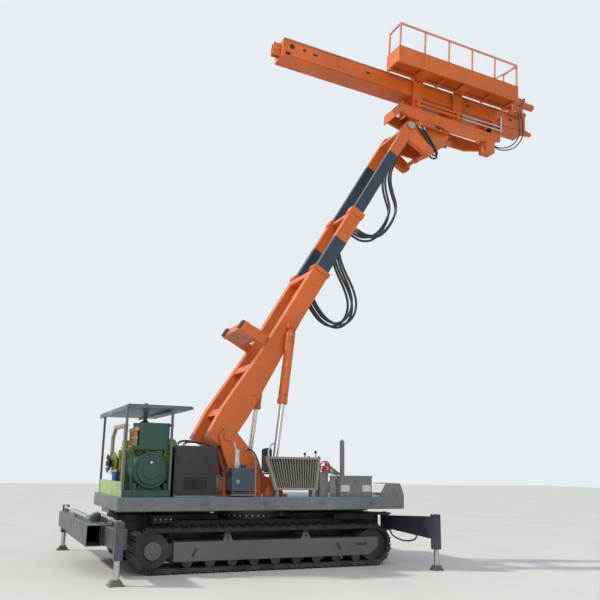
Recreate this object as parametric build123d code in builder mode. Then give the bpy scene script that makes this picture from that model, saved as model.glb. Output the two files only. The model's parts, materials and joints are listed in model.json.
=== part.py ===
from build123d import *
import math
import os

os.makedirs("parts", exist_ok=True)

# A tracked down-the-hole drilling rig with a slewing deck and a twin telescopic boom.
# Millimetres. The construction is laid out from the ground under the slewing axis: +X is
# the end that the boom leans to, +Y the side away from the basket, +Z up. Each piece is
# then moved so that the origin is on the ground under the middle of the whole machine.

# Middle of the machine's box, seen from the slewing axis
frame_x = 2217.8
frame_y = 400

# Undercarriage
track_length = 4800
track_height = 740
track_width = 500
track_centre_y = 1020
shoe_count = 60
shoe_plate = 24
grouser_height = 26
grouser_width = 24
belt_thickness = 40
side_frame_rear_x = -1690
side_frame_front_x = 2120
side_frame_bottom_z = 195
side_frame_top_z = 500
car_half_width = 700
car_bottom_z = 330
car_top_z = 800
car_rear_x = -2500
car_front_x = 2500
frame_inner_y = 800

# Slewing ring and deck
ring_radius = 620
ring_gap = 0.4
deck_bottom_z = 985
deck_top_z = 1200
deck_rear_x = -2640
deck_front_x = 2720
deck_half_width = 1210
deck_wall = 12

# Rear outriggers: two cross tubes side by side, each with one arm that slides out
rear_tube_size = (240, 320)
rear_tube_wall = 12
rear_tube_half_length = 1250
rear_tube_bottom_z = 470
near_tube_x = -2710
far_tube_x = -2970
arm_slide_gap = 5
near_leg_y = -2080
far_leg_y = 2900
leg_tube = 130
leg_tube_wall = 10
running_gap = 0.4
leg_inner = leg_tube - 2 * leg_tube_wall - 2 * running_gap
leg_tube_bottom_z = 350
leg_tube_top_z = 890
foot_height = 90
rear_foot_size = 240
front_foot_size = 180
leg_rod_radius = 46

# Front outriggers: arms that swing on upright pins
front_pin_x = 2640
front_pin_y = 620
front_leg_x = 2790
front_leg_y = 2130
front_leg_top_z = 935

# Boom: pivot, elevation and three stages of twin box beams
boom_pivot_x = -640
boom_pivot_z = 2250
boom_angle = 59
beam_centre_y = 500
beam_offset = 110
pin_gap = 0.3
pad_gap = 0.5
base_width = 220
base_depth = 350
base_wall = 12
base_rear_s = -200
base_front_s = 3900
mid_width = 176
mid_depth = 290
mid_wall = 12
mid_rear_s = 1950
mid_front_s = 5550
tip_width = 136
tip_depth = 235
tip_wall = 10
tip_rear_s = 4450
tip_front_s = 8200
collar_length = 90
collar_wall = 22
head_pin_radius = 60
foot_pin_radius = 55
lift_pin_radius = 40

# Lift cylinders
lift_y = 705
lift_foot_x = 230
lift_foot_z = 1450
lift_base_z = 1240
lift_pin_s = 2450
lift_pin_offset = 70
lift_barrel_length = 1520
lift_barrel_radius = 90
lift_rod_radius = 52
lift_rod_length = 1775
eye_radius = 85
eye_width = 100

# Mast head, cradle and mast, laid out in a frame that leans a little to the drill end
mast_tilt = 3.9
head_ring_x = 4110
head_ring_z = 9560
head_ring_radius = 400
mast_left = -3730
mast_right = 2950
mast_width = 460
mast_height = 420
mast_bottom = 710
mast_top = mast_bottom + mast_height
half_mast = mast_width / 2
bed_left = -420
tail_left = -740
bed_right = 2120
bed_bottom = 90
bed_height = 260
shift_heights = (460, 560)
shift_y = -370
shift_rod_radius = 20
basket_left = -1160
basket_right = 2230
basket_near = -850
basket_far = -300
basket_floor = 1155
skirt_height = 325
rail_height = 922
rail_radius = 25
rail_inset = 30

# Boom hoses: their routes in the boom's frame, from the upper end to the lower
hose_radius = 26
upper_route = (
    (7880, -65),
    (7570, -65),
    (7245, -77),
    (6920, -150),
    (6660, -360),
    (6400, -680),
    (5980, -735),
    (5590, -670),
    (5365, -460),
    (5300, -215),
    (5300, -20),
)
lower_route = (
    (5390, 50),
    (5120, 50),
    (4845, 30),
    (4610, -70),
    (4380, -340),
    (4160, -740),
    (3910, -1010),
    (3560, -1085),
    (3270, -930),
    (3200, -600),
    (3310, -270),
    (3430, -70),
    (3430, 90),
)


boom = Plane(
    origin=(boom_pivot_x, 0, boom_pivot_z),
    x_dir=(math.cos(math.radians(boom_angle)), 0, math.sin(math.radians(boom_angle))),
    z_dir=(-math.sin(math.radians(boom_angle)), 0, math.cos(math.radians(boom_angle))),
)
mast = Plane(
    origin=(head_ring_x, 0, head_ring_z),
    x_dir=(math.cos(math.radians(mast_tilt)), 0, -math.sin(math.radians(mast_tilt))),
    z_dir=(math.sin(math.radians(mast_tilt)), 0, math.cos(math.radians(mast_tilt))),
)


def block(x, y, z, frame=Plane.XY, mode=Mode.ADD):
    """A box between pairs of x, y and z in a frame."""
    with BuildSketch(frame.offset(z[0])) as outline:
        with Locations(((x[0] + x[1]) / 2, (y[0] + y[1]) / 2)):
            Rectangle(x[1] - x[0], y[1] - y[0])
    extrude(outline.sketch, amount=z[1] - z[0], mode=mode)


def point(frame, x, y, z):
    """A point of a frame in the part's own coordinates."""
    return frame.from_local_coords((x, y, z))


def cross_bar(x, z, y, radius, frame=Plane.XY, mode=Mode.ADD):
    """A round bar along the machine's width, between two y."""
    across = Plane(origin=point(frame, x, y[0], z), x_dir=frame.x_dir, z_dir=(0, 1, 0))
    with BuildSketch(across) as outline:
        Circle(radius)
    extrude(outline.sketch, amount=y[1] - y[0], mode=mode)


def upright(x, y, z, radius, frame=Plane.XY, mode=Mode.ADD):
    """A round bar along a frame's z, between two z."""
    with BuildSketch(frame.offset(z[0])) as outline:
        with Locations((x, y)):
            Circle(radius)
    extrude(outline.sketch, amount=z[1] - z[0], mode=mode)


def rod(start, end, radius, mode=Mode.ADD):
    """A round bar from one point to another."""
    start, end = Vector(*start), Vector(*end)
    with BuildSketch(Plane(origin=start, z_dir=end - start)) as outline:
        Circle(radius)
    extrude(outline.sketch, amount=(end - start).length, mode=mode)


def plate(points, y, frame=Plane.XY, mode=Mode.ADD):
    """A flat plate in the frame's x-z plane with straight edges, between two y."""
    side = Plane(origin=point(frame, 0, y[0], 0), x_dir=frame.x_dir, z_dir=-frame.y_dir)
    with BuildSketch(side) as outline:
        with BuildLine():
            Polyline(*points, close=True)
        make_face()
    extrude(outline.sketch, amount=-(y[1] - y[0]), mode=mode)


def pair(value):
    """The near and the far side's y spans of a pair of like pieces."""
    low, high = value
    return [(-high, -low), (low, high)]


def sagging(route, sag, reach):
    """A route whose free part hangs by more or less and stands further up or down the boom."""
    top = route[0][1]
    free = [(s + reach, top + sag * (offset - top)) for s, offset in route[3:-2]]
    return [*route[:3], *free, *route[-2:]]


def hose(route, y):
    """A hose in the boom's plane at y: straight runs joined by the largest arcs they allow."""
    points = [point(boom, s, y, offset) for s, offset in route]
    runs = [after - before for before, after in zip(points, points[1:])]
    radii = [
        0.45 * min(first.length, second.length) / math.tan(math.radians(first.get_angle(second)) / 2)
        for first, second in zip(runs, runs[1:])
    ]
    with BuildLine() as path:
        FilletPolyline(*points, radius=radii)
    with BuildSketch(Plane(origin=points[0], z_dir=runs[0])) as outline:
        Circle(hose_radius)
    sweep(outline.sketch, path=path.wires()[0])
    return path.wires()[0].length, radii


def finish(builder, name):
    moved = builder.part.moved(Location((-frame_x, -frame_y, 0)))
    moved.label = name
    export_step(moved, f"parts/{name}.step")


# Car body: the frame between the tracks with its rear and front outrigger carriers
with BuildPart() as car_body:
    block((-1650, 1650), (-car_half_width, car_half_width), (car_bottom_z, car_top_z))
    block((car_rear_x, -1650), (-520, 520), (rear_tube_bottom_z + 20, car_top_z - 20))
    block((1650, car_front_x), (-520, 520), (420, car_top_z + 90))
    block((-1650, -720), (-500, 500), (car_top_z, car_top_z + 90))
    block((720, 1650), (-500, 500), (car_top_z, car_top_z + 90))
    block((car_rear_x, -1650), (-500, 500), (car_top_z - 20, car_top_z + 90))
    block((car_front_x, car_front_x + 50), (-520, 520), (600, car_top_z + 50))
    for axle_x in (-900, 900):
        block((axle_x - 130, axle_x + 130), (-frame_inner_y, frame_inner_y), (230, 480))
    for side in (-1, 1):
        for low in (560, 850):
            with BuildSketch(Plane.XY.offset(low)):
                with BuildLine():
                    Polyline(
                        (car_front_x - 300, side * 300),
                        (car_front_x - 300, side * 690),
                        (front_pin_x + 90, side * (front_pin_y + 90)),
                        (front_pin_x + 90, side * (front_pin_y - 130)),
                        (car_front_x, side * 300),
                        close=True,
                    )
                make_face()
            extrude(amount=40)
        upright(front_pin_x, side * front_pin_y, (545, 905), 40)
finish(car_body, "car_body")

# Rear outrigger box: both cross tubes on the rear of the car body, with their barrels
tube_rows = (
    # x of the tube, side that its arm slides out to, name of the side
    (near_tube_x, -1, "near"),
    (far_tube_x, 1, "far"),
)
tube_wide, tube_high = rear_tube_size
tube_top_z = rear_tube_bottom_z + tube_high
barrel_z = tube_top_z + 70
ext_barrel_radius = 40
ext_rod_radius = 24
ext_barrel_length = 1650
with BuildPart() as outrigger_box:
    for tube_x, side, name in tube_rows:
        span = (-rear_tube_half_length, rear_tube_half_length)
        block(
            (tube_x - tube_wide / 2, tube_x + tube_wide / 2),
            span,
            (rear_tube_bottom_z, tube_top_z),
        )
        block(
            (tube_x - tube_wide / 2 + rear_tube_wall, tube_x + tube_wide / 2 - rear_tube_wall),
            span,
            (rear_tube_bottom_z + rear_tube_wall, tube_top_z - rear_tube_wall),
            mode=Mode.SUBTRACT,
        )
    block((far_tube_x + tube_wide / 2, near_tube_x - tube_wide / 2), (-1100, -900), (500, 760))
    block((far_tube_x + tube_wide / 2, near_tube_x - tube_wide / 2), (900, 1100), (500, 760))
    block((near_tube_x + tube_wide / 2, car_rear_x), (-520, 520), (500, 760))
    for tube_x, side, name in tube_rows:
        open_end = side * rear_tube_half_length
        blind_end = open_end - side * ext_barrel_length
        cross_bar(tube_x, barrel_z, sorted((blind_end, open_end)), ext_barrel_radius)
        inner = sorted((blind_end + side * 50, open_end))
        cross_bar(tube_x, barrel_z, inner, ext_rod_radius + pad_gap, mode=Mode.SUBTRACT)
        for seat in (-300, 1000):
            low, high = sorted((side * seat, side * (seat + 80)))
            block((tube_x - 30, tube_x + 30), (low, high), (tube_top_z, tube_top_z + 34))
finish(outrigger_box, "outrigger_box")

# Slewing ring, fixed half
with BuildPart() as slew_ring:
    with BuildSketch(Plane.XY.offset(car_top_z)):
        Circle(ring_radius)
        Circle(ring_radius - 120, mode=Mode.SUBTRACT)
    extrude(amount=deck_bottom_z - car_top_z - 80)
finish(slew_ring, "slew_ring")

# Tracks: a belt with shoes and grouser bars all round, fixed
sprocket_x = track_length / 2 - track_height / 2
hub_z = track_height / 2
belt_outer = track_height / 2 - grouser_height - shoe_plate
belt_inner = belt_outer - belt_thickness
straight = 2 * sprocket_x
shoe_line = belt_outer + shoe_plate / 2
run = 2 * straight + 2 * math.pi * shoe_line
pitch = run / shoe_count


def on_track(distance):
    """Place and direction on the line that the shoes follow, as x, z and angle."""
    bend = math.pi * shoe_line
    if distance < straight:
        return -sprocket_x + distance, -shoe_line, 0
    distance -= straight
    if distance < bend:
        turn = distance / shoe_line
        return sprocket_x + shoe_line * math.sin(turn), -shoe_line * math.cos(turn), turn
    distance -= bend
    if distance < straight:
        return sprocket_x - distance, shoe_line, math.pi
    turn = (distance - straight) / shoe_line
    return -sprocket_x - shoe_line * math.sin(turn), shoe_line * math.cos(turn), math.pi + turn


for side, name in ((-1, "near"), (1, "far")):
    inner_y = side * track_centre_y - track_width / 2
    face = Plane(origin=(0, inner_y, hub_z), x_dir=(1, 0, 0), z_dir=(0, -1, 0))
    with BuildPart() as track:
        with BuildSketch(face):
            SlotCenterToCenter(2 * sprocket_x, 2 * belt_outer)
            SlotCenterToCenter(2 * sprocket_x, 2 * belt_inner, mode=Mode.SUBTRACT)
            for index in range(shoe_count):
                x, z, turn = on_track((index + 0.5) * pitch)
                out_x, out_z = math.sin(turn), -math.cos(turn)
                with Locations(Location((x, z), math.degrees(turn))):
                    Rectangle(pitch - 14, shoe_plate + 4)
                lug = shoe_plate / 2 + grouser_height / 2
                with Locations(Location((x + out_x * lug, z + out_z * lug), math.degrees(turn))):
                    Rectangle(grouser_width, grouser_height)
        extrude(amount=-track_width)
    finish(track, f"track_{name}")

# Track frames: side beam, rollers, rear sprocket with its hub and front idler
sprocket_radius = belt_inner - 2
for side, name in ((-1, "near"), (1, "far")):
    outer_y = side * (track_centre_y + track_width / 2)
    beam = sorted((outer_y - side * 15, side * frame_inner_y))
    with BuildPart() as frame:
        plate(
            (
                (side_frame_rear_x, side_frame_bottom_z),
                (side_frame_front_x - 190, side_frame_bottom_z),
                (side_frame_front_x, side_frame_bottom_z + 150),
                (side_frame_front_x, side_frame_top_z),
                (side_frame_rear_x, side_frame_top_z),
            ),
            beam,
        )
        roller = sorted((outer_y - side * 40, outer_y - side * 440))
        for roller_x in range(-1450, 1700, 390):
            cross_bar(roller_x, hub_z - belt_inner + 85, roller, 85)
        for tab_x in (-770, 670):
            plate(
                (
                    (tab_x - 90, side_frame_top_z),
                    (tab_x + 90, side_frame_top_z),
                    (tab_x + 45, 590),
                    (tab_x - 45, 590),
                ),
                sorted((outer_y - side * 15, outer_y - side * 55)),
            )
            cross_bar(tab_x, hub_z + belt_inner - 60, roller, 60)
        cross_bar(-sprocket_x, hub_z, sorted((outer_y - side * 90, outer_y - side * 400)), sprocket_radius)
        cross_bar(-sprocket_x, hub_z, sorted((outer_y - side * 10, outer_y - side * 90)), 140)
        hidden = sorted((outer_y - side * 90, side * frame_inner_y))
        block((-sprocket_x, side_frame_rear_x + 10), hidden, (hub_z - 110, hub_z + 110))
        cross_bar(sprocket_x, hub_z, sorted((outer_y - side * 90, outer_y - side * 400)), sprocket_radius)
        block((1900, sprocket_x), hidden, (hub_z - 110, hub_z + 110))
    finish(frame, f"track_frame_{name}")

# Rear arms: the sliding box, the leg's outer tube, and the rod of the extension cylinder
arm_wide = tube_wide - 2 * rear_tube_wall - 2 * arm_slide_gap
arm_high = tube_high - 2 * rear_tube_wall - 2 * arm_slide_gap
arm_low_z = rear_tube_bottom_z + rear_tube_wall + arm_slide_gap
rear_legs = (
    # name, x of the tube, side, y of the leg, x of the leg, length of rod inside the barrel
    ("near", near_tube_x, -1, near_leg_y, near_tube_x - 30, 800),
    ("far", far_tube_x, 1, far_leg_y, far_tube_x + 30, 120),
)


def jack_leg(x, y, foot_size):
    """A jack's round rod with its square guide above and its foot, wider at the ground."""
    with BuildSketch(Plane.XY) as sole:
        with Locations((x, y)):
            Rectangle(foot_size, foot_size)
    with BuildSketch(Plane.XY.offset(foot_height)) as ankle:
        with Locations((x, y)):
            Rectangle(leg_inner, leg_inner)
    loft([sole.sketch, ankle.sketch])
    upright(x, y, (foot_height - 10, leg_tube_bottom_z + 200), leg_rod_radius)
    half = leg_inner / 2
    block((x - half, x + half), (y - half, y + half), (leg_tube_bottom_z + 60, leg_tube_bottom_z + 200))


def leg_tube_at(x, y, top_z):
    """The square outer tube that a leg slides in, open below and capped above."""
    half = leg_tube / 2
    block((x - half, x + half), (y - half, y + half), (leg_tube_bottom_z, top_z))
    half = leg_tube / 2 - leg_tube_wall
    block((x - half, x + half), (y - half, y + half), (leg_tube_bottom_z, top_z - 12), mode=Mode.SUBTRACT)


for name, tube_x, side, leg_y, leg_x, rod_inside in rear_legs:
    with BuildPart() as arm:
        inner_end = leg_y - side * 2450
        outer_end = leg_y - side * (leg_tube / 2)
        low, high = sorted((inner_end, outer_end))
        block(
            (tube_x - arm_wide / 2, tube_x + arm_wide / 2),
            (low, high),
            (arm_low_z, arm_low_z + arm_high),
        )
        leg_tube_at(leg_x, leg_y, leg_tube_top_z)
        low, high = sorted((outer_end - side * 160, outer_end - side * 120))
        block((tube_x - 25, tube_x + 25), (low, high), (arm_low_z + arm_high, barrel_z + 40))
        rod_end = side * (rear_tube_half_length - rod_inside)
        low, high = sorted((rod_end, outer_end - side * 130))
        cross_bar(tube_x, barrel_z, (low, high), ext_rod_radius)
    finish(arm, f"rear_arm_{name}")
    with BuildPart() as leg:
        jack_leg(leg_x, leg_y, rear_foot_size)
    finish(leg, f"rear_leg_{name}")

# Front arms: tapering boxes that swing on upright pins, with the leg's tube at the end
for side, name in ((-1, "near"), (1, "far")):
    pin_y = side * front_pin_y
    leg_y = side * front_leg_y
    with BuildPart() as arm:
        stations = (
            # y, half width in x, bottom z, top z, x
            (pin_y, 70, 615, 835, front_pin_x),
            (side * (front_leg_y - leg_tube / 2), 60, 520, 900, front_leg_x),
        )
        for y, half, low, high, x in stations:
            with BuildSketch(Plane(origin=(x, y, 0), x_dir=(1, 0, 0), z_dir=(0, -1, 0))):
                with Locations((0, (low + high) / 2)):
                    Rectangle(2 * half, high - low)
        loft()
        upright(front_pin_x, pin_y, (605, 845), 85)
        upright(front_pin_x, pin_y, (600, 850), 40 + pin_gap, mode=Mode.SUBTRACT)
        leg_tube_at(front_leg_x, leg_y, front_leg_top_z)
    finish(arm, f"front_arm_{name}")
    with BuildPart() as leg:
        jack_leg(front_leg_x, leg_y, front_foot_size)
    finish(leg, f"front_leg_{name}")

# Deck frame: side channels, plate and the ring's upper half, all slewing
with BuildPart() as deck_frame:
    block(
        (deck_rear_x, deck_front_x),
        (-deck_half_width, deck_half_width),
        (deck_top_z - deck_wall, deck_top_z),
    )
    for low, high in pair((deck_half_width - 70, deck_half_width)):
        block((deck_rear_x, deck_front_x), (low, high), (deck_bottom_z, deck_top_z))
    for low, high in pair((300, 380)):
        block((deck_rear_x, deck_front_x), (low, high), (deck_bottom_z, deck_top_z))
    for rib_x in (deck_rear_x, -1800, -900, 0, 900, 1800, deck_front_x - 70):
        block((rib_x, rib_x + 70), (-deck_half_width, deck_half_width), (deck_bottom_z, deck_top_z))
    for belly in ((deck_rear_x + 20, -700), (700, 2400)):
        block(belly, (-380, 380), (deck_bottom_z - 70, deck_bottom_z + 12))
    upright(0, 0, (deck_bottom_z - 80 + ring_gap, deck_top_z), ring_radius - 20)
finish(deck_frame, "deck_frame")

# Front cheek: the raised end of the deck, a plate box with a sloped rear edge
cheek_rear_x = 2170
cheek_top_z = 1450
with BuildPart() as front_cheek:
    outline = (
        (cheek_rear_x, deck_top_z),
        (cheek_rear_x + 160, cheek_top_z),
        (deck_front_x - 80, cheek_top_z),
        (deck_front_x, cheek_top_z - 200),
        (deck_front_x, deck_top_z),
    )
    for low, high in pair((deck_half_width - 12, deck_half_width)):
        plate(outline, (low, high))
    block(
        (deck_front_x - 12, deck_front_x),
        (-deck_half_width, deck_half_width),
        (deck_top_z, cheek_top_z - 200),
    )
    block(
        (deck_front_x - 380, deck_front_x - 80),
        (-deck_half_width, -700),
        (cheek_top_z - 12, cheek_top_z),
    )
finish(front_cheek, "front_cheek")

# Power module on the rear of the deck: skid, air drum, engine, cooler box, canopy
skid_height = 110
skid_top_z = deck_top_z + skid_height
skid_rear_x = -2570
skid_front_x = -1760
deck_line = deck_half_width - 90
with BuildPart() as engine_skid:
    block((skid_rear_x, skid_front_x), (-deck_line, 80 - deck_line), (deck_top_z, skid_top_z))
    block((skid_rear_x, -900), (1040, 1120), (deck_top_z, skid_top_z))
    block((-980, -900), (-500, 1120), (deck_top_z, skid_top_z))
    block((skid_front_x - 80, skid_front_x), (-deck_line, 1120), (deck_top_z, skid_top_z))
    block((skid_front_x - 80, -900), (-500, -420), (deck_top_z, skid_top_z))
    block((skid_rear_x, skid_front_x), (-deck_line, 1120), (skid_top_z - 12, skid_top_z))
    block((skid_rear_x, skid_rear_x + 30), (60 - deck_line, 1120), (deck_top_z, skid_top_z + 140))
    block((skid_rear_x + 30, skid_rear_x + 130), (-160, 100), (skid_top_z + 70, skid_top_z + 90))
finish(engine_skid, "engine_skid")

drum_x = -2080
drum_z = 1640
drum_radius = 300
with BuildPart() as air_drum:
    drum = (-1060, -200)
    cross_bar(drum_x, drum_z, (drum[0] + 60, drum[1] - 60), drum_radius)
    cross_bar(drum_x, drum_z, (drum[0] + 20, drum[1] - 20), drum_radius - 60)
    cross_bar(drum_x, drum_z, (drum[0] - 8, drum[1]), drum_radius - 150)
    for foot_y in (-920, -400):
        plate(
            (
                (drum_x - 230, skid_top_z),
                (drum_x + 230, skid_top_z),
                (drum_x + 120, drum_z - 200),
                (drum_x - 120, drum_z - 200),
            ),
            (foot_y - 30, foot_y + 30),
        )
finish(air_drum, "air_drum")

with BuildPart() as engine:
    block((-2380, -1180), (-120, 600), (skid_top_z, 1880))
    block((-2340, -1280), (20, 460), (1880, 2050))
    block((-2430, -2380), (-60, 540), (skid_top_z + 90, 1860))
    rod((-2520, 240, 1740), (-2430, 240, 1740), 70)
    rod((-2500, 240, 1740), (-2470, 240, 1740), 200)
    rod((-2480, 240, 1460), (-2430, 240, 1460), 110)
    rod((-2470, -50, 1900), (-2200, -50, 1900), 75)
    cross_bar(-1500, 2100, (60, 420), 110)
finish(engine, "engine")

# Fuel filters on the shelf at the skid's rear end
with BuildPart() as fuel_filters:
    for filter_y in (-95, 35):
        upright(skid_rear_x + 80, filter_y, (skid_top_z + 90, skid_top_z + 290), 50)
finish(fuel_filters, "fuel_filters")

with BuildPart() as cooler_box:
    block((-2310, -1800), (-1010, -420), (1990, 2420))
    block((-2420, -1740), (-1010, -420), (1966, 1990))
    for leg_x in (-2420, -1770):
        for leg_y in (-450, -1010):
            block((leg_x, leg_x + 30), (leg_y, leg_y + 30), (skid_top_z, 1966))
finish(cooler_box, "cooler_box")

roof_near_y = -1150
roof_far_y = 1750
near_post_y = 10 - deck_line
far_post_y = 1160
with BuildPart() as canopy:
    block((skid_rear_x + 10, -1440), (roof_near_y, roof_far_y), (2660, 2700))
    for post_x in (skid_rear_x, skid_front_x - 42):
        block((post_x, post_x + 40), (near_post_y, near_post_y + 40), (skid_top_z, 2700))
        block((post_x, post_x + 40), (far_post_y, far_post_y + 40), (deck_top_z, 2700))
        block((post_x, post_x + 40), (near_post_y, roof_far_y - 60), (2620, 2660))
finish(canopy, "canopy")

# Air pipe from the drum's end over to the engine, and the brass pipes behind the cooler
with BuildPart() as air_pipes:
    rod((-2475, -640, skid_top_z), (-2475, -640, 2400), 36)
    rod((-2475, -676, 2380), (-2475, 336, 2380), 36)
    rod((-2475, 312, 2392), (-2475, 592, 2192), 36)
    rod((-2475, 575, 2230), (-2475, 575, 1714), 36)
    rod((-2500, 690, 1750), (-2200, 690, 1750), 36)
    rod((-2475, 540, 1750), (-2475, 726, 1750), 36)
    rod((-2236, 726, 1750), (-2236, 600, 1750), 36)
finish(air_pipes, "air_pipes")
with BuildPart() as cooler_pipes:
    for pipe_y in (-950, -800, -650, -500):
        upright(-2352, pipe_y, (1990, 2300), 32)
    cross_bar(-2352, 2300, (-990, -460), 36)
finish(cooler_pipes, "cooler_pipes")

# Black cabinet ahead of the power module
cabinet_rear_x = -1710
cabinet_front_x = -960
cabinet_top_z = 2040
with BuildPart() as cabinet:
    block((cabinet_rear_x, cabinet_front_x), (30 - deck_line, 440 - deck_line), (deck_top_z, cabinet_top_z))
finish(cabinet, "cabinet")

# Hydraulic oil tank on its stand
with BuildPart() as oil_tank:
    block((-670, -260), (60 - deck_line, 400 - deck_line), (1300, 1690))
    for leg_x in (-660, -300):
        for leg_y in (70 - deck_line, 360 - deck_line):
            block((leg_x, leg_x + 30), (leg_y, leg_y + 30), (deck_top_z, 1300))
finish(oil_tank, "oil_tank")

# Radiator guard: a frame that is wider at the top, with leaning slats
guard_bottom_z = 1320
guard_top_z = 1900
guard_slats = 18
with BuildPart() as radiator_guard:
    outer = ((110, guard_bottom_z), (950, guard_bottom_z), (1010, guard_top_z), (-60, guard_top_z))
    inner = (
        (160, guard_bottom_z + 40),
        (900, guard_bottom_z + 40),
        (955, guard_top_z - 40),
        (-5, guard_top_z - 40),
    )
    plate(outer, (-deck_line, 80 - deck_line))
    plate(inner, (-deck_line, 80 - deck_line), mode=Mode.SUBTRACT)
    for index in range(guard_slats):
        share = (index + 0.5) / guard_slats
        low_x = 160 + share * 740
        high_x = -5 + share * 960
        plate(
            (
                (low_x - 8, guard_bottom_z + 30),
                (low_x + 8, guard_bottom_z + 30),
                (high_x + 8, guard_top_z - 30),
                (high_x - 8, guard_top_z - 30),
            ),
            (10 - deck_line, 60 - deck_line),
        )
    plate(((160, 1350), (900, 1350), (950, 1870), (0, 1870)), (80 - deck_line, 180 - deck_line))
    for leg_x in (150, 850):
        block((leg_x, leg_x + 50), (20 - deck_line, 170 - deck_line), (deck_top_z, guard_bottom_z))
finish(radiator_guard, "radiator_guard")

# Operator's seat behind the guard
with BuildPart() as seat:
    block((200, 680), (-590, -170), (1600, 1700))
    block((200, 270), (-590, -170), (1700, 2080))
    block((340, 540), (-480, -280), (deck_top_z, 1600))
finish(seat, "seat")

# Control console: levers on a stand beside the seat
with BuildPart() as console:
    block((1020, 1140), (60 - deck_line, 260 - deck_line), (deck_top_z, 1640))
    block((760, 1260), (190 - deck_line, 260 - deck_line), (1560, 1640))
    for lever_x, lever_top in ((800, 1960), (880, 1900), (1020, 2000), (1090, 1900)):
        rod((lever_x, 225 - deck_line, 1640), (lever_x - 10, 225 - deck_line, lever_top), 12)
        with Locations((lever_x - 10, 225 - deck_line, lever_top)):
            Sphere(24)
    plate(((1160, 1830), (1500, 1600), (1385, 1585), (1150, 1640)), (120 - deck_line, 132 - deck_line))
    block((1140, 1220), (120 - deck_line, 132 - deck_line), (deck_top_z, 1700))
finish(console, "console")

# Hand wheel on the console's near face
with BuildPart() as hand_wheel:
    wheel = Plane(origin=(1110, 20 - deck_line, 1740), x_dir=(1, 0, 0), z_dir=(0, 1, 0))
    with BuildSketch(wheel) as ring:
        Circle(105)
        Circle(85, mode=Mode.SUBTRACT)
        Rectangle(200, 14)
        Rectangle(14, 200)
    extrude(ring.sketch, amount=16)
    cross_bar(1110, 1740, (20 - deck_line, 105 - deck_line), 16)
    block((1094, 1126), (85 - deck_line, 117 - deck_line), (1640, 1756))
finish(hand_wheel, "hand_wheel")

# Control cabinet: a low box with two doors, and the post beside it
with BuildPart() as control_box:
    block((1400, 2080), (-deck_line, 420 - deck_line), (deck_top_z, 1575))
    block((1430, 1500), (-deck_line, 60 - deck_line), (1575, 2210))
finish(control_box, "control_box")

# Turret: pedestal on the deck, cheeks for the boom's foot, lugs for the lift cylinders
foot_lug_inner = 380
foot_lug_outer = 620
with BuildPart() as turret:
    block((-700, 60), (-680, 680), (deck_top_z, 1560))
    block((50, 130), (-640, 640), (deck_top_z, 1560))
    for y in pair((560, 820)):
        block((40, 480), y, (deck_top_z, lift_base_z))
    cheek = (
        (-560, 1560),
        (80, 1560),
        (-160, 1960),
        (-470, 2310),
        (-700, 2400),
        (-810, 2250),
        (-760, 2080),
    )
    for y in pair((foot_lug_inner - 45, foot_lug_inner)):
        plate(cheek, y)
    for y in pair((foot_lug_outer, foot_lug_outer + 45)):
        plate(cheek, y)
    for y in pair((foot_lug_inner - 30, foot_lug_outer + 60)):
        cross_bar(boom_pivot_x, boom_pivot_z, y, foot_pin_radius)
    for centre in (-lift_y, lift_y):
        for low in (centre - eye_width / 2 - 50, centre + eye_width / 2 + 10):
            plate(
                (
                    (lift_foot_x - 180, lift_base_z),
                    (lift_foot_x + 180, lift_base_z),
                    (lift_foot_x + 90, lift_foot_z + 90),
                    (lift_foot_x - 90, lift_foot_z + 90),
                ),
                (low, low + 40),
            )
finish(turret, "turret")

# Boom, stage one: twin box beams, deeper at the foot, with the lift cylinders' pin between them
beam_low = beam_offset - base_depth / 2
beam_high = beam_offset + base_depth / 2
base_inner = base_width / 2 - base_wall


def beam_spans(width):
    """The near and the far beam's y spans."""
    return [(c - width / 2, c + width / 2) for c in (-beam_centre_y, beam_centre_y)]


def hollow(s, width, depth):
    """Cut a square passage through both beams."""
    for y in beam_spans(width):
        block(s, y, (beam_offset - depth / 2, beam_offset + depth / 2), boom, mode=Mode.SUBTRACT)


with BuildPart() as boom_base:
    for y in beam_spans(base_width):
        plate(
            (
                (base_rear_s, beam_low + 40),
                (-60, beam_low - 60),
                (500, beam_low - 95),
                (1500, beam_low - 60),
                (2700, beam_low),
                (base_front_s, beam_low),
                (base_front_s, beam_high),
                (1700, beam_high),
                (400, beam_high + 70),
                (base_rear_s, beam_high + 30),
            ),
            y,
            boom,
        )
    for y in beam_spans(base_width + 2 * collar_wall):
        block(
            (base_front_s - collar_length, base_front_s),
            y,
            (beam_low - collar_wall, beam_high + collar_wall),
            boom,
        )
    hollow((560, base_front_s), base_width - 2 * base_wall, base_depth - 2 * base_wall)
    for y in beam_spans(base_width - 2 * base_wall):
        block(
            (base_front_s - 120, base_front_s),
            y,
            (beam_low + base_wall, beam_high - base_wall),
            boom,
        )
    hollow((560, base_front_s), mid_width + 2 * pad_gap, mid_depth + 2 * pad_gap)
    hollow((560, base_front_s - 120), base_width - 2 * base_wall, base_depth - 2 * base_wall)
    between = (-beam_centre_y + base_width / 2, beam_centre_y - base_width / 2)
    for bar_s in (300, 1300, 3620):
        block((bar_s, bar_s + 160), between, (beam_offset + 10, beam_high), boom)
    block((3390, 3700), (-340, 340), (lower_route[-1][1], beam_offset + 20), boom)
    outer_face = beam_centre_y + base_width / 2
    for y in pair((outer_face - 10, lift_y + eye_width / 2 + 15)):
        cross_bar(lift_pin_s, lift_pin_offset, y, lift_pin_radius, boom)
    for y in pair((outer_face - 10, lift_y - eye_width / 2 - 5)):
        cross_bar(lift_pin_s, lift_pin_offset, y, 95, boom)
    for y in beam_spans(base_width):
        cross_bar(0, 0, y, foot_pin_radius + pin_gap, boom, mode=Mode.SUBTRACT)
finish(boom_base, "boom_base")

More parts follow.
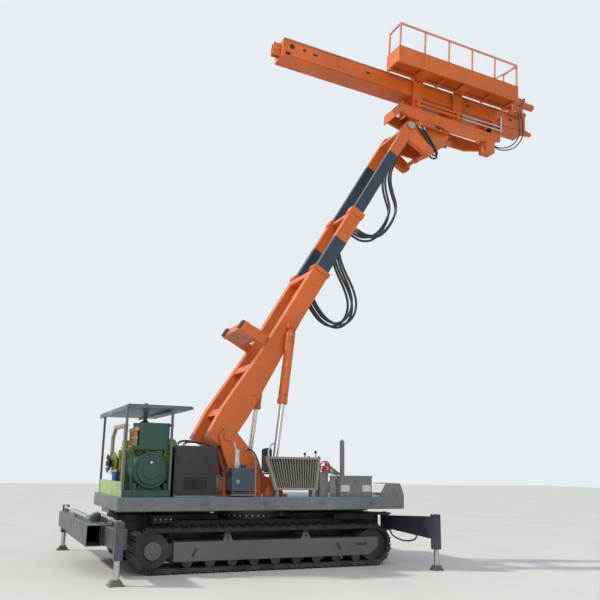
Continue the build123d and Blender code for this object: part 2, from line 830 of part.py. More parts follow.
# Mast rest: two gusset plates on the boom's back with a cross beam and rubber pads
with BuildPart() as mast_rest:
    for y in beam_spans(30):
        plate(((1870, beam_high), (2060, beam_high), (2070, 570), (2040, 870), (1850, 870)), y, boom)
    block((1850, 2040), (-beam_centre_y - 60, beam_centre_y + 60), (780, 870), boom)
    block((1862, 1882), (-beam_centre_y, beam_centre_y), (470, 790), boom)
finish(mast_rest, "mast_rest")

with BuildPart() as rest_pads:
    for y in pair((beam_centre_y - 90, beam_centre_y + 60)):
        block((1865, 2025), y, (870, 915), boom)
finish(rest_pads, "rest_pads")

# Boom, stage two: slides in stage one on pads
mid_high = mid_depth / 2
with BuildPart() as boom_mid:
    for y in beam_spans(mid_width):
        block((mid_rear_s, mid_front_s), y, (beam_offset - mid_high, beam_offset + mid_high), boom)
    for y in beam_spans(base_width - 2 * base_wall - 2 * pad_gap):
        pad = base_depth / 2 - base_wall - pad_gap
        block((mid_rear_s, mid_rear_s + 120), y, (beam_offset - pad, beam_offset + pad), boom)
    for y in beam_spans(mid_width + 2 * collar_wall):
        block(
            (mid_front_s - 150, mid_front_s),
            y,
            (beam_offset - mid_high - collar_wall, beam_offset + mid_high + collar_wall),
            boom,
        )
    hollow((mid_rear_s, mid_front_s - 120), mid_width - 2 * mid_wall, mid_depth - 2 * mid_wall)
    hollow((mid_rear_s, mid_front_s), tip_width + 2 * pad_gap, tip_depth + 2 * pad_gap)
    low_y = beam_centre_y - mid_width / 2
    block(
        (mid_front_s - 140, mid_front_s - 20),
        (-low_y, low_y),
        (beam_offset - 100, beam_offset + 100),
        boom,
    )
    for s, z in (((lower_route[0][0], 5420), (10, 95)), ((5260, 5500), (upper_route[-1][1], 15))):
        block(s, (-375, 375), z, boom)
finish(boom_mid, "boom_mid")

# Boom, stage three: slides in stage two, with the head pin's bosses and the tilt cylinder's arms
tip_high = tip_depth / 2
tilt_arm_s = tip_front_s - 200
tilt_arm_offset = -566
tilt_arm_radius = 120
with BuildPart() as boom_tip:
    for y in beam_spans(tip_width):
        block((tip_rear_s, tip_front_s), y, (beam_offset - tip_high, beam_offset + tip_high), boom)
        cross_bar(tip_front_s, beam_offset, y, tip_high, boom)
    for y in beam_spans(mid_width - 2 * mid_wall - 2 * pad_gap):
        pad = mid_depth / 2 - mid_wall - pad_gap
        block((tip_rear_s, tip_rear_s + 120), y, (beam_offset - pad, beam_offset + pad), boom)
    hollow((tip_rear_s, tip_front_s - 300), tip_width - 2 * tip_wall, tip_depth - 2 * tip_wall)
    for y in beam_spans(tip_width):
        plate(
            (
                (tilt_arm_s - 130, beam_offset - tip_high),
                (tilt_arm_s + 200, beam_offset - tip_high),
                (tilt_arm_s + tilt_arm_radius, tilt_arm_offset),
                (tilt_arm_s - tilt_arm_radius, tilt_arm_offset),
            ),
            y,
            boom,
        )
        cross_bar(tilt_arm_s, tilt_arm_offset, y, tilt_arm_radius, boom)
    low_y = beam_centre_y - tip_width / 2
    cross_bar(tilt_arm_s, tilt_arm_offset, (-low_y, low_y), 45, boom)
    block(
        (tip_front_s - 260, tip_front_s - 135),
        (-low_y, low_y),
        (beam_offset - tip_high, beam_offset + tip_high),
        boom,
    )
    block((upper_route[0][0], 7990), (-375, 375), (-95, 5), boom)
    for y in beam_spans(tip_width):
        cross_bar(tip_front_s, beam_offset, y, head_pin_radius + pin_gap, boom, mode=Mode.SUBTRACT)
finish(boom_tip, "boom_tip")

# Boom hoses: four hang from stage three to stage two and four from stage two to stage one, each in a
# plane of its own between the beams, with its own sag
hoses = (
    ("hose_upper_1", upper_route, -337, 1.0, 0),
    ("hose_upper_2", upper_route, -223, 1.07, 25),
    ("hose_upper_3", upper_route, -109, 0.92, 10),
    ("hose_upper_4", upper_route, 5, 1.03, -20),
    ("hose_lower_1", lower_route, -280, 1.0, 0),
    ("hose_lower_2", lower_route, -166, 0.94, 20),
    ("hose_lower_3", lower_route, -52, 1.03, -5),
    ("hose_lower_4", lower_route, 62, 0.97, 15),
)
for name, route, y, sag, reach in hoses:
    with BuildPart() as tube:
        length, radii = hose(sagging(route, sag, reach), y)
    print(name, "length", round(length), "radii", [round(radius) for radius in radii])
    print(name, "volume", round(tube.part.volume), "of", round(math.pi * hose_radius**2 * length))
    finish(tube, name)

# Lift cylinders: barrels hang from the boom, rods stand in the turret's lugs
lift_pin = point(boom, lift_pin_s, 0, lift_pin_offset)
lift_foot = Vector(lift_foot_x, 0, lift_foot_z)
lift_line = (lift_foot - lift_pin).normalized()
with BuildPart() as lift_barrels:
    for y in (-lift_y, lift_y):
        pin = lift_pin + Vector(0, y, 0)
        rod(pin, pin + lift_line * 150, eye_width / 2 - 2)
        rod(pin + lift_line * 130, pin + lift_line * lift_barrel_length, lift_barrel_radius)
        rod(
            pin + lift_line * 150,
            pin + lift_line * lift_barrel_length,
            lift_rod_radius + pad_gap,
            mode=Mode.SUBTRACT,
        )
        rod(
            pin + lift_line * 150,
            pin + lift_line * (lift_barrel_length - 70),
            lift_barrel_radius - 15,
            mode=Mode.SUBTRACT,
        )
        cross_bar(pin.X, pin.Z, (y - eye_width / 2, y + eye_width / 2), eye_radius)
        cross_bar(pin.X, pin.Z, (y - 80, y + 80), lift_pin_radius + pin_gap, mode=Mode.SUBTRACT)
finish(lift_barrels, "lift_barrels")

with BuildPart() as lift_rods:
    for y in (-lift_y, lift_y):
        foot_pin = lift_foot + Vector(0, y, 0)
        rod(foot_pin, foot_pin - lift_line * lift_rod_length, lift_rod_radius)
        head = foot_pin - lift_line * lift_rod_length
        rod(head, head + lift_line * 60, lift_barrel_radius - 15 - pad_gap)
        cross_bar(foot_pin.X, foot_pin.Z, (y - eye_width / 2, y + eye_width / 2), eye_radius)
finish(lift_rods, "lift_rods")

# Head frame: hangs on the boom's head pin and carries the slewing ring of the mast
head_pin = point(boom, tip_front_s, 0, beam_offset)
head = Plane(origin=head_pin, x_dir=(1, 0, 0), z_dir=(0, 0, 1))
tilt_lug = (1350, 100)
with BuildPart() as head_frame:
    cross_bar(0, 0, (-600, 600), head_pin_radius, head)
    for y in pair((575, 600)):
        cross_bar(0, 0, y, 95, head)
    for y in pair((255, 280)):
        plate(
            (
                (-90, 50),
                (-90, -50),
                (-30, -110),
                (50, -120),
                (170, -330),
                (450, -360),
                (800, -370),
                (950, -270),
                (1070, -140),
                (1180, -10),
                (1260, 130),
                (250, 205),
            ),
            y,
            head,
        )
    block((-300, 560), (-380, 380), (-60, -30), mast)
    upright(0, 0, (-30, 20), head_ring_radius, mast)
    for y in pair((78, 108)):
        plate(
            (
                (tilt_lug[0] - 420, 160),
                (tilt_lug[0] - 420, 60),
                (tilt_lug[0] - 60, 10),
                (tilt_lug[0] + 90, 10),
                (tilt_lug[0] + 90, 90),
            ),
            y,
            head,
        )
finish(head_frame, "head_frame")

# Tilt cylinder: barrel on the boom's arms, rod to the head frame
tilt_pin = point(boom, tilt_arm_s, 0, tilt_arm_offset)
tilt_end = point(head, tilt_lug[0], 0, tilt_lug[1])
tilt_line = (tilt_end - tilt_pin).normalized()
with BuildPart() as tilt_barrel:
    rod(tilt_pin, tilt_pin + tilt_line * 862, 65)
    rod(tilt_pin + tilt_line * 80, tilt_pin + tilt_line * 862, 35 + pad_gap, mode=Mode.SUBTRACT)
    rod(tilt_pin + tilt_line * 80, tilt_pin + tilt_line * 822, 52, mode=Mode.SUBTRACT)
    cross_bar(tilt_pin.X, tilt_pin.Z, (-45, 45), 75)
    cross_bar(tilt_pin.X, tilt_pin.Z, (-70, 70), 45 + pin_gap, mode=Mode.SUBTRACT)
finish(tilt_barrel, "tilt_barrel")
with BuildPart() as tilt_rod:
    rod(tilt_end, tilt_end - tilt_line * 870, 35)
    rod(tilt_end - tilt_line * 870, tilt_end - tilt_line * 840, 51)
    cross_bar(tilt_end.X, tilt_end.Z, (-68, 68), 50)
finish(tilt_rod, "tilt_rod")

# Cradle: turns on the head's ring and carries the mast and the basket
with BuildPart() as cradle:
    upright(0, 0, (20 + running_gap, 100), head_ring_radius - 20, mast)
    block((bed_left, 420), (-330, 330), (90, 130), mast)
    for y in pair((260, 330)):
        plate(
            (
                (tail_left, 170),
                (bed_left, 90),
                (430, 90),
                (470, 40),
                (1500, 40),
                (bed_right, 200),
                (bed_right, 350),
                (tail_left, 390),
            ),
            y,
            mast,
        )
        for post_x in (bed_left, 700, bed_right - 260):
            block((post_x, post_x + 260), y, (350, mast_bottom - pad_gap), mast)
    for bar_x in (bed_left, 700, bed_right - 260):
        block((bar_x, bar_x + 260), (-330, 330), (290, 350), mast)
        block((bar_x + 40, bar_x + 220), (-330, 330), (mast_bottom - 60, mast_bottom - pad_gap), mast)
    for post_x in (bed_left, 700):
        block((post_x, post_x + 260), (-330, -280), (mast_bottom - 10, basket_floor - 50), mast)
    block((tail_left - 20, tail_left), (-430, 430), (150, 400), mast)
    block((1690, 1950), (-330, -30), (-160, 350), mast)
finish(cradle, "cradle")

# Work basket beside the mast: floor on cross beams, skirt, posts and rails
basket_top = basket_floor + rail_height
with BuildPart() as basket:
    block((basket_left, basket_right), (basket_near, basket_far), (basket_floor, basket_floor + 12), mast)
    block(
        (basket_left, basket_right),
        (basket_near, basket_near + 8),
        (basket_floor, basket_floor + skirt_height),
        mast,
    )
    for end_x in (basket_left, basket_right - 8):
        block(
            (end_x, end_x + 8),
            (basket_near, basket_far),
            (basket_floor, basket_floor + skirt_height),
            mast,
        )
    bays = 5
    for index in range(bays + 1):
        post_x = basket_left + rail_inset + index * (basket_right - basket_left - 2 * rail_inset) / bays
        rod(
            point(mast, post_x, basket_near + rail_inset, basket_floor),
            point(mast, post_x, basket_near + rail_inset, basket_top),
            rail_radius,
        )
        beam_x = min(max(post_x, basket_left + 40), basket_right - 40)
        block(
            (beam_x - 40, beam_x + 40),
            (basket_near, basket_far),
            (basket_floor - 50, basket_floor),
            mast,
        )
    for end_x in (basket_left + rail_inset, basket_right - rail_inset):
        far_top = point(mast, end_x, basket_far - rail_inset, basket_top)
        rod(point(mast, end_x, basket_far - rail_inset, basket_floor), far_top, rail_radius)
        rod(point(mast, end_x, basket_near + rail_inset, basket_top), far_top, rail_radius)
    rod(
        point(mast, basket_left + rail_inset, basket_near + rail_inset, basket_top),
        point(mast, basket_right - rail_inset, basket_near + rail_inset, basket_top),
        rail_radius,
    )
    for beam_x in (bed_left, 700):
        block((beam_x, beam_x + 260), (basket_near, basket_far), (basket_floor - 50, basket_floor), mast)
    for y in ((basket_near, basket_near + 50), (-440, -390)):
        block((basket_left, basket_right), y, (basket_floor - 90, basket_floor - 50), mast)
finish(basket, "basket")

# Mast: a box beam with side rails, sliding on the cradle, with end plates and chain wheels
with BuildPart() as mast_beam:
    block((mast_left, mast_right), (-half_mast, half_mast), (mast_bottom, mast_top), mast)
    for y in pair((half_mast, half_mast + 25)):
        block((mast_left + 200, mast_right), y, (mast_bottom + 20, mast_bottom + 110), mast)
        block((mast_left, mast_right), y, (mast_top - 25, mast_top), mast)
    for y in pair((40, 70)):
        block((mast_left - 170, mast_left), y, (mast_bottom + 60, mast_top - 60), mast)
    cross_bar(mast_left - 90, mast_bottom + 210, (-38, 38), 100, mast)
    cross_bar(mast_left - 90, mast_bottom + 210, (-75, 75), 30, mast)
    block((mast_right, mast_right + 25), (-half_mast, half_mast), (mast_bottom, mast_top + 40), mast)
    rod(point(mast, mast_right, 0, mast_bottom + 150), point(mast, 3200, 0, mast_bottom + 150), 75)
    rod(point(mast, 3200, 0, mast_bottom + 150), point(mast, 3330, 0, mast_bottom + 150), 55)
finish(mast_beam, "mast_beam")

# Mast shift cylinder: barrel on the cradle, rods on the mast
with BuildPart() as shift_barrel:
    for z in shift_heights:
        rod(point(mast, -380, shift_y, z), point(mast, 1000, shift_y, z), 32)
        rod(
            point(mast, -340, shift_y, z),
            point(mast, 1000, shift_y, z),
            shift_rod_radius + pad_gap,
            mode=Mode.SUBTRACT,
        )
    for seat_x in (-330, 780):
        block(
            (seat_x, seat_x + 80),
            (shift_y - 20, -330),
            (shift_heights[0] - 60, shift_heights[0] - 26),
            mast,
        )
        block(
            (seat_x, seat_x + 80),
            (shift_y - 20, -330),
            (shift_heights[0] + 26, shift_heights[1] - 26),
            mast,
        )
finish(shift_barrel, "shift_barrel")

# Mast shift rods: fixed to the mast by a bracket that reaches over the cradle's posts
with BuildPart() as shift_rods:
    for z in shift_heights:
        rod(point(mast, 300, shift_y, z), point(mast, 2090, shift_y, z), shift_rod_radius)
    block((2060, 2100), (-400, -345), (shift_heights[0] - 40, 830), mast)
    block((2060, 2100), (-345, -(half_mast + 25)), (745, 815), mast)
finish(shift_rods, "shift_rods")

# Drill head: carriage on the mast's top, gearbox and motors
head_x = 2600
axis_z = 1480
carriage = (head_x - 200, head_x + 230)
with BuildPart() as drill_head:
    carriage_half = half_mast + 42
    block(carriage, (-carriage_half, carriage_half), (mast_top + 15, mast_top + 70), mast)
    for y in pair((half_mast + 30, half_mast + 42)):
        block(carriage, y, (mast_top - 60, mast_top + 70), mast)
    block((head_x, head_x + 330), (-210, 210), (mast_top + 70, axis_z + 200), mast)
    for y in pair((150, 190)):
        block(carriage, y, (mast_top + running_gap, mast_top + 15), mast)
    for y, z, far_end in ((-100, axis_z + 100, 710), (100, axis_z - 60, 620)):
        rod(point(mast, head_x + 310, y, z), point(mast, head_x + far_end, y, z), 85)
        rod(point(mast, head_x + 320, y, z), point(mast, head_x + 350, y, z), 105)
    upright(head_x + 120, 60, (axis_z + 190, axis_z + 260), 60, mast)
finish(drill_head, "drill_head")

# Chuck: the turning end of the drill head
with BuildPart() as chuck:
    rod(point(mast, head_x - 200, 0, axis_z), point(mast, head_x - pad_gap, 0, axis_z), 95)
    rod(point(mast, head_x - 320, 0, axis_z), point(mast, head_x - 190, 0, axis_z), 65)
    rod(point(mast, head_x - 320, 0, axis_z), point(mast, head_x - 200, 0, axis_z), 38, mode=Mode.SUBTRACT)
finish(chuck, "chuck")
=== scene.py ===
import json
import math

import bmesh
import bpy
from mathutils import Matrix, Vector


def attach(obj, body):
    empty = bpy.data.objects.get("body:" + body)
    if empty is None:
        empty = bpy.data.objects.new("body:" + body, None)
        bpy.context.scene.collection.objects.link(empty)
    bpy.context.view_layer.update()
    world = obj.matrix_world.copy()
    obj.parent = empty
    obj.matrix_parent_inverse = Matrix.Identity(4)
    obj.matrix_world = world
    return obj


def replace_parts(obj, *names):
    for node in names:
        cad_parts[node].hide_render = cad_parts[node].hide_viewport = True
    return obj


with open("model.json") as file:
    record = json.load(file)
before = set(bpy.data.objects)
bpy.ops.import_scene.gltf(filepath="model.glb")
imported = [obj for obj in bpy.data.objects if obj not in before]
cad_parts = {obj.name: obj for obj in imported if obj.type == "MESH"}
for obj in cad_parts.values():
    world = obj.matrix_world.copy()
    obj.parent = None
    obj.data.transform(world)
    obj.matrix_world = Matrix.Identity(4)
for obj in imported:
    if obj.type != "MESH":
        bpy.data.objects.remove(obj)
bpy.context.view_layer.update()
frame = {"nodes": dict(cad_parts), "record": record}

# Camera: the low view from the rear near corner, looking up along the leaning boom.
# The focal length and the angles were worked out from the machine's level edges.
tilt_up = 0.230282
roll = 0.0143973
turn = 0.41597
scene = bpy.context.scene


def placed(name, data):
    """A new object in the scene."""
    thing = bpy.data.objects.new(name, data)
    scene.collection.objects.link(thing)
    return thing


camera_data = bpy.data.cameras.new("camera")
camera_data.lens = 43.1
camera_data.sensor_width = 36
camera_data.clip_end = 200
camera = placed("camera", camera_data)
ahead = Vector((math.sin(turn) * math.cos(tilt_up), math.cos(turn) * math.cos(tilt_up), math.sin(tilt_up)))
level = Vector((math.cos(turn), -math.sin(turn), 0))
upward = level.cross(ahead)
right = level * math.cos(roll) + upward * math.sin(roll)
above = -level * math.sin(roll) + upward * math.cos(roll)
camera.matrix_world = Matrix((right, above, -ahead)).transposed().to_4x4()
camera.location = (-7.05167, -13.70115, 1.70)
scene.camera = camera

# Boom hoses: black wire-braid hose in four and four loops under the boom, each in a plane of
# its own between the beams, with a swaged steel ferrule and a nut at both ends. The places
# are in metres: ground from the slewing axis, boom along the boom and off its pivot line,
# mast along the mast and off its slewing ring.
ground = Matrix.Translation((-2.2178, -0.400, 0))
boom = ground @ Matrix.Translation((-0.640, 0, 2.250)) @ Matrix.Rotation(-math.radians(59), 4, "Y")
mast = ground @ Matrix.Translation((4.110, 0, 9.560)) @ Matrix.Rotation(math.radians(3.9), 4, "Y")


def feed(tree, node, sockets):
    """Give each of a node's sockets its value, or a link from another node's output."""
    for socket, value in sockets.items():
        if isinstance(value, bpy.types.NodeSocket):
            tree.links.new(value, node.inputs[socket])
        else:
            node.inputs[socket].default_value = value


def add_node(tree, kind, sockets, **settings):
    """A shader node with its settings made and its sockets fed."""
    node = tree.nodes.new(f"ShaderNode{kind}")
    for setting, value in settings.items():
        setattr(node, setting, value)
    feed(tree, node, sockets)
    return node


def surface(name, colour, rough, metal=0.0, low=0.75, high=1.2, scale=9.0, bump=0.0015):
    """A plain finish whose colour and roughness drift, with a fine grain."""
    finish = bpy.data.materials.new(name)
    finish.use_nodes = True
    tree = finish.node_tree
    place = add_node(tree, "TexCoord", {}).outputs["Object"]
    drift = add_node(tree, "TexNoise", {"Vector": place, "Scale": scale, "Detail": 7}).outputs["Fac"]
    ramp = add_node(tree, "ValToRGB", {"Fac": drift})
    for stop, position, factor in zip(ramp.color_ramp.elements, (0.32, 0.68), (low, high)):
        stop.position = position
        stop.color = (*[min(1, c * factor) for c in colour], 1)
    limits = {"Value": drift, "To Min": max(0.04, rough - 0.12), "To Max": min(1, rough + 0.15)}
    grain = add_node(tree, "TexNoise", {"Vector": place, "Scale": 120, "Detail": 4}).outputs["Fac"]
    relief = add_node(tree, "Bump", {"Strength": 0.3, "Distance": bump, "Height": grain})
    feed(tree, tree.nodes["Principled BSDF"], {
        "Base Color": ramp.outputs["Color"],
        "Roughness": add_node(tree, "MapRange", limits).outputs[0],
        "Metallic": metal,
        "Normal": relief.outputs[0],
    })
    return finish


def shown(name, bm, finish, edge, harden=False):
    """A bmesh as an object, smooth but for its sharp edges, which are broken to a width."""
    mesh = bpy.data.meshes.new(name)
    bm.to_mesh(mesh)
    bm.free()
    mesh.polygons.foreach_set("use_smooth", [True] * len(mesh.polygons))
    mesh.set_sharp_from_angle(angle=0.6)
    mesh.materials.append(finish)
    piece = placed(name, mesh)
    if edge:
        rounded = piece.modifiers.new("edge", "BEVEL")
        rounded.width = edge
        rounded.segments = 2
        rounded.limit_method = "ANGLE"
        rounded.angle_limit = 0.7
        rounded.harden_normals = harden
    return piece


def made(name, bm, finish, body, edge=0.0):
    """A bmesh as a finished piece: closed, its normals outwards, riding on a body."""
    bmesh.ops.remove_doubles(bm, verts=bm.verts, dist=0.00002)
    bmesh.ops.recalc_face_normals(bm, faces=bm.faces)
    piece = shown(name, bm, finish, edge)
    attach(piece, body)
    return piece


def turned(bm, where, place, along, profile, steps):
    """A shape turned on a lathe: profile is (radius, height) pairs from one end to the other."""
    start = where @ Vector(place)
    axis = (where.to_3x3() @ Vector(along)).normalized()
    side = axis.orthogonal().normalized()
    line = [bm.verts.new(start + axis * height + side * radius) for radius, height in profile]
    edges = [bm.edges.new(ends) for ends in zip(line, line[1:])]
    bmesh.ops.spin(
        bm, geom=line + edges, cent=start, axis=axis, angle=2 * math.pi, steps=steps, use_merge=True
    )


def hose(name, where, points, radius, body, fitting, steps, ends):
    """A hose on a smooth curve through its route, with a fitting at both ends."""
    bm = bmesh.new()
    for end, beside in ((points[0], points[1]), (points[-1], points[-2])):
        turned(bm, where, end, Vector(beside) - Vector(end), fitting, steps)
    fittings = made(f"{name}_{ends}", bm, plated, body)
    curve = bpy.data.curves.new(name, "CURVE")
    curve.dimensions = "3D"
    curve.bevel_depth = radius
    curve.bevel_resolution = 4
    curve.resolution_u = 8
    curve.use_fill_caps = True
    line = curve.splines.new("NURBS")
    line.points.add(len(points) - 1)
    for control, place in zip(line.points, points):
        control.co = (*(where @ Vector(place)), 1)
    line.order_u = 3
    line.use_endpoint_u = True
    curve.materials.append(rubber)
    piece = placed(name, curve)
    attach(piece, body)
    return piece


rubber = surface("hose_rubber", (0.016, 0.017, 0.019), 0.42, low=0.7, high=1.9, scale=14)
plated = surface("plated_fitting", (0.42, 0.40, 0.34), 0.32, metal=0.9, scale=30)
hose_radius = 0.026
upper_route = (
    (7.880, -0.065), (7.570, -0.065), (7.245, -0.077), (6.920, -0.150), (6.660, -0.360), (6.400, -0.680),
    (5.980, -0.735), (5.590, -0.670), (5.365, -0.460), (5.300, -0.215), (5.300, -0.020),
)
lower_route = (
    (5.390, 0.050), (5.120, 0.050), (4.845, 0.030), (4.610, -0.070), (4.380, -0.340), (4.160, -0.740),
    (3.910, -1.010), (3.560, -1.085), (3.270, -0.930), (3.200, -0.600), (3.310, -0.270), (3.430, -0.070),
    (3.430, 0.090),
)
boom_hoses = (
    # name, route, y, sag, reach, length, body
    ("hose_upper_1", upper_route, -0.337, 1.0, 0, 3.247, "boom_tip"),
    ("hose_upper_2", upper_route, -0.223, 1.07, 0.025, 3.295, "boom_tip"),
    ("hose_upper_3", upper_route, -0.109, 0.92, 0.010, 3.172, "boom_tip"),
    ("hose_upper_4", upper_route, 0.005, 1.03, -0.020, 3.288, "boom_tip"),
    ("hose_lower_1", lower_route, -0.280, 1.0, 0, 3.684, "boom_mid"),
    ("hose_lower_2", lower_route, -0.166, 0.94, 0.020, 3.551, "boom_mid"),
    ("hose_lower_3", lower_route, -0.052, 1.03, -0.005, 3.744, "boom_mid"),
    ("hose_lower_4", lower_route, 0.062, 0.97, 0.015, 3.611, "boom_mid"),
)
swage = ((0, 0), (0.036, 0), (0.036, 0.030), (0.031, 0.034), (0.031, 0.100), (0.0275, 0.110), (0, 0.110))
for name, route, y, sag, reach, length, body in boom_hoses:
    top = route[0][1]
    free = [(s + reach, top + sag * (offset - top)) for s, offset in route[3:-2]]
    points = [(s, y, offset) for s, offset in (*route[:3], *free, *route[-2:])]
    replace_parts(hose(name, boom, points, hose_radius, body, swage, 20, "ferrules"), name)

# Floor and light: a plain pale floor that runs into a plain pale background, one soft sun
# from the rear above and one soft panel, at a level where paint shows its own colour.
scene.view_settings.view_transform = "Standard"
world = bpy.data.worlds.new("pale_world")
scene.world = world
world.use_nodes = True
tree = world.node_tree
tree.nodes.clear()
path = add_node(tree, "LightPath", {}).outputs
seen = add_node(tree, "Math", {0: path["Is Camera Ray"], 1: path["Is Glossy Ray"]}, operation="MAXIMUM")
soft = add_node(tree, "Background", {"Color": (0.80, 0.88, 1.0, 1), "Strength": 0.7})
pale = add_node(tree, "Background", {"Color": (0.80, 0.84, 0.88, 1), "Strength": 1.0})
mix = add_node(tree, "MixShader", {"Fac": seen.outputs[0], 1: soft.outputs[0], 2: pale.outputs[0]})
add_node(tree, "OutputWorld", {"Surface": mix.outputs[0]})

bm = bmesh.new()
bmesh.ops.create_grid(bm, x_segments=1, y_segments=1, size=60)
floor_mesh = bpy.data.meshes.new("floor")
bm.to_mesh(floor_mesh)
bm.free()
floor = placed("floor", floor_mesh)
floor_mesh.materials.append(surface("pale_floor", (0.60, 0.585, 0.55), 0.85, low=0.96, high=1.04, scale=0.6))


def lamp(name, kind, energy, place, aim, size, colour):
    """A lamp that looks at a point."""
    data = bpy.data.lights.new(name, kind)
    data.energy = energy
    data.color = colour
    if kind == "AREA":
        data.size = size
    else:
        data.angle = size
    light = placed(name, data)
    light.location = place
    light.rotation_euler = (Vector(aim) - Vector(place)).to_track_quat("-Z", "Y").to_euler()


lamp("sun", "SUN", 2.7, (-14, 6, 14), (0, 0, 3), 0.05, (1.0, 0.95, 0.86))
lamp("near_panel", "AREA", 850, (-6, -16, 9), (0, 0, 4), 9, (1.0, 0.98, 0.95))

# Undercarriage: welded car body between the tracks, dark enamel under years of mud, with the
# bare fixed half of the slewing ring and its bolts. The enamel is the whole machine's: colour
# drifts over each plate, dust lies on top, mud and grime climb from the ground, chips show.
dust_colour = (0.30, 0.27, 0.22, 1)
mud_colour = (0.12, 0.10, 0.08, 1)
chip_colour = (0.09, 0.05, 0.032, 1)


def enamel(name, colour, rough, dust=0.35, grime=0.5, chips=0.62, metal=0.0, band=None, tread=0.0):
    """Enamel with drift, dust, streaks, grime and chips. band is (colour, origin, line, where)
    for a second colour from a place along a line, tread the height of a chequer pattern."""
    finish = bpy.data.materials.new(name)
    finish.use_nodes = True
    tree = finish.node_tree
    place = add_node(tree, "TexCoord", {}).outputs["Object"]

    def noise(scale, detail, stretch=(1, 1, 1)):
        vector = add_node(tree, "Mapping", {"Vector": place, "Scale": stretch}).outputs[0]
        sockets = {"Vector": vector, "Scale": scale, "Detail": detail}
        return add_node(tree, "TexNoise", sockets).outputs["Fac"]

    def spread(value, low, high, to_low=0.0, to_high=1.0):
        limits = {"Value": value, "From Min": low, "From Max": high, "To Min": to_low, "To Max": to_high}
        return add_node(tree, "MapRange", limits).outputs[0]

    def reckoned(operation, a, b):
        return add_node(tree, "Math", {0: a, 1: b}, operation=operation).outputs[0]

    def blended(factor, a, b, kind="MIX"):
        # a Mix node's sockets 6 and 7 are its two colours, and its output 2 is the colour
        sockets = {0: factor, 6: a, 7: b}
        return add_node(tree, "Mix", sockets, data_type="RGBA", blend_type=kind).outputs[2]

    base = (*colour, 1)
    if band:
        second, origin, line, where = band
        moved = add_node(tree, "VectorMath", {0: place, 1: origin}, operation="SUBTRACT").outputs[0]
        along = add_node(tree, "VectorMath", {0: moved, 1: line}, operation="DOT_PRODUCT").outputs["Value"]
        base = blended(spread(along, where - 0.004, where + 0.004), base, (*second, 1))
    painted = blended(1.0, base, spread(noise(1.1, 5.0), 0.3, 0.7, 0.80, 1.12), "MULTIPLY")
    streak = reckoned("MULTIPLY", spread(noise(5.0, 6.0, (1, 1, 0.14)), 0.54, 0.80), 0.45 * grime)
    painted = blended(streak, painted, mud_colour)
    normal = add_node(tree, "NewGeometry", {}).outputs["Normal"]
    lying = spread(add_node(tree, "SeparateXYZ", {0: normal}).outputs["Z"], 0.35, 0.95)
    lying = reckoned("MULTIPLY", lying, spread(noise(3.5, 6.0), 0.30, 0.68))
    painted = blended(reckoned("MULTIPLY", lying, dust), painted, dust_colour)
    splash = spread(add_node(tree, "SeparateXYZ", {0: place}).outputs["Z"], 0.85, 0.05)
    splash = reckoned("MULTIPLY", splash, spread(noise(4.0, 7.0), 0.36, 0.62))
    painted = blended(reckoned("MULTIPLY", splash, grime), painted, mud_colour)
    if chips < 1:
        chip = spread(noise(34.0, 9.0), chips, chips + 0.03)
        patches = spread(noise(2.3, 3.0), 0.50, 0.62)
        painted = blended(reckoned("MULTIPLY", chip, patches), painted, chip_colour)
    relief = noise(48.0, 5.0)
    if tread:
        lozenges = []
        for angle in (45, -45):
            twist = {"Vector": place, "Rotation": (0, 0, math.radians(angle)), "Scale": (1.0, 2.6, 1.0)}
            vector = add_node(tree, "Mapping", twist).outputs[0]
            cells = add_node(tree, "TexVoronoi", {"Vector": vector, "Scale": 13, "Randomness": 0.0})
            lozenges.append(spread(cells.outputs["Distance"], 0.26, 0.20))
        relief = reckoned("ADD", reckoned("MULTIPLY", relief, 0.3), reckoned("MAXIMUM", *lozenges))
    height = {"Strength": 0.8 if tread else 0.25, "Distance": tread or 0.002, "Height": relief}
    feed(tree, tree.nodes["Principled BSDF"], {
        "Base Color": painted,
        "Roughness": spread(noise(7.0, 6.0), 0.3, 0.7, rough - 0.08, rough + 0.14),
        "Metallic": metal,
        "Normal": add_node(tree, "Bump", height).outputs[0],
    })
    return finish


def body_of(node):
    """The body that a CAD node belongs to."""
    bodies = frame["record"]["behaviour"]["bodies"]
    return next(body for body, nodes in bodies.items() if node in nodes)


def dressed(node, finish, width, other=None, where=None):
    """The CAD node's own shape with its edges broken, in its finish, and in another finish
    on the faces that where(middle, normal) picks, in metres from the slewing axis."""
    bm = bmesh.new()
    bm.from_mesh(frame["nodes"][node].data)
    bmesh.ops.remove_doubles(bm, verts=bm.verts, dist=0.00005)
    bmesh.ops.dissolve_limit(bm, angle_limit=0.01, verts=bm.verts, edges=bm.edges)
    piece = shown(f"{node}_shape", bm, finish, width, harden=True)
    if other:
        piece.data.materials.append(other)
        home = ground.inverted()
        for face in piece.data.polygons:
            face.material_index = int(where(home @ face.center, face.normal))
    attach(piece, body_of(node))
    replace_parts(piece, node)


def bar(bm, where, start, end, radius, steps):
    """A round bar with slightly broken ends."""
    length = (Vector(end) - Vector(start)).length
    cut = min(0.003, radius * 0.3)
    low_end = ((0, 0), (radius - cut, 0), (radius, cut))
    high_end = ((radius, length - cut), (radius - cut, length), (0, length))
    turned(bm, where, start, Vector(end) - Vector(start), low_end + high_end, steps)


def slab(bm, where, low, high):
    """A box between two corners."""
    low, high = Vector(low), Vector(high)
    size = Matrix.Diagonal((*(high - low), 1))
    bmesh.ops.create_cube(bm, size=1, matrix=where @ Matrix.Translation((low + high) / 2) @ size)


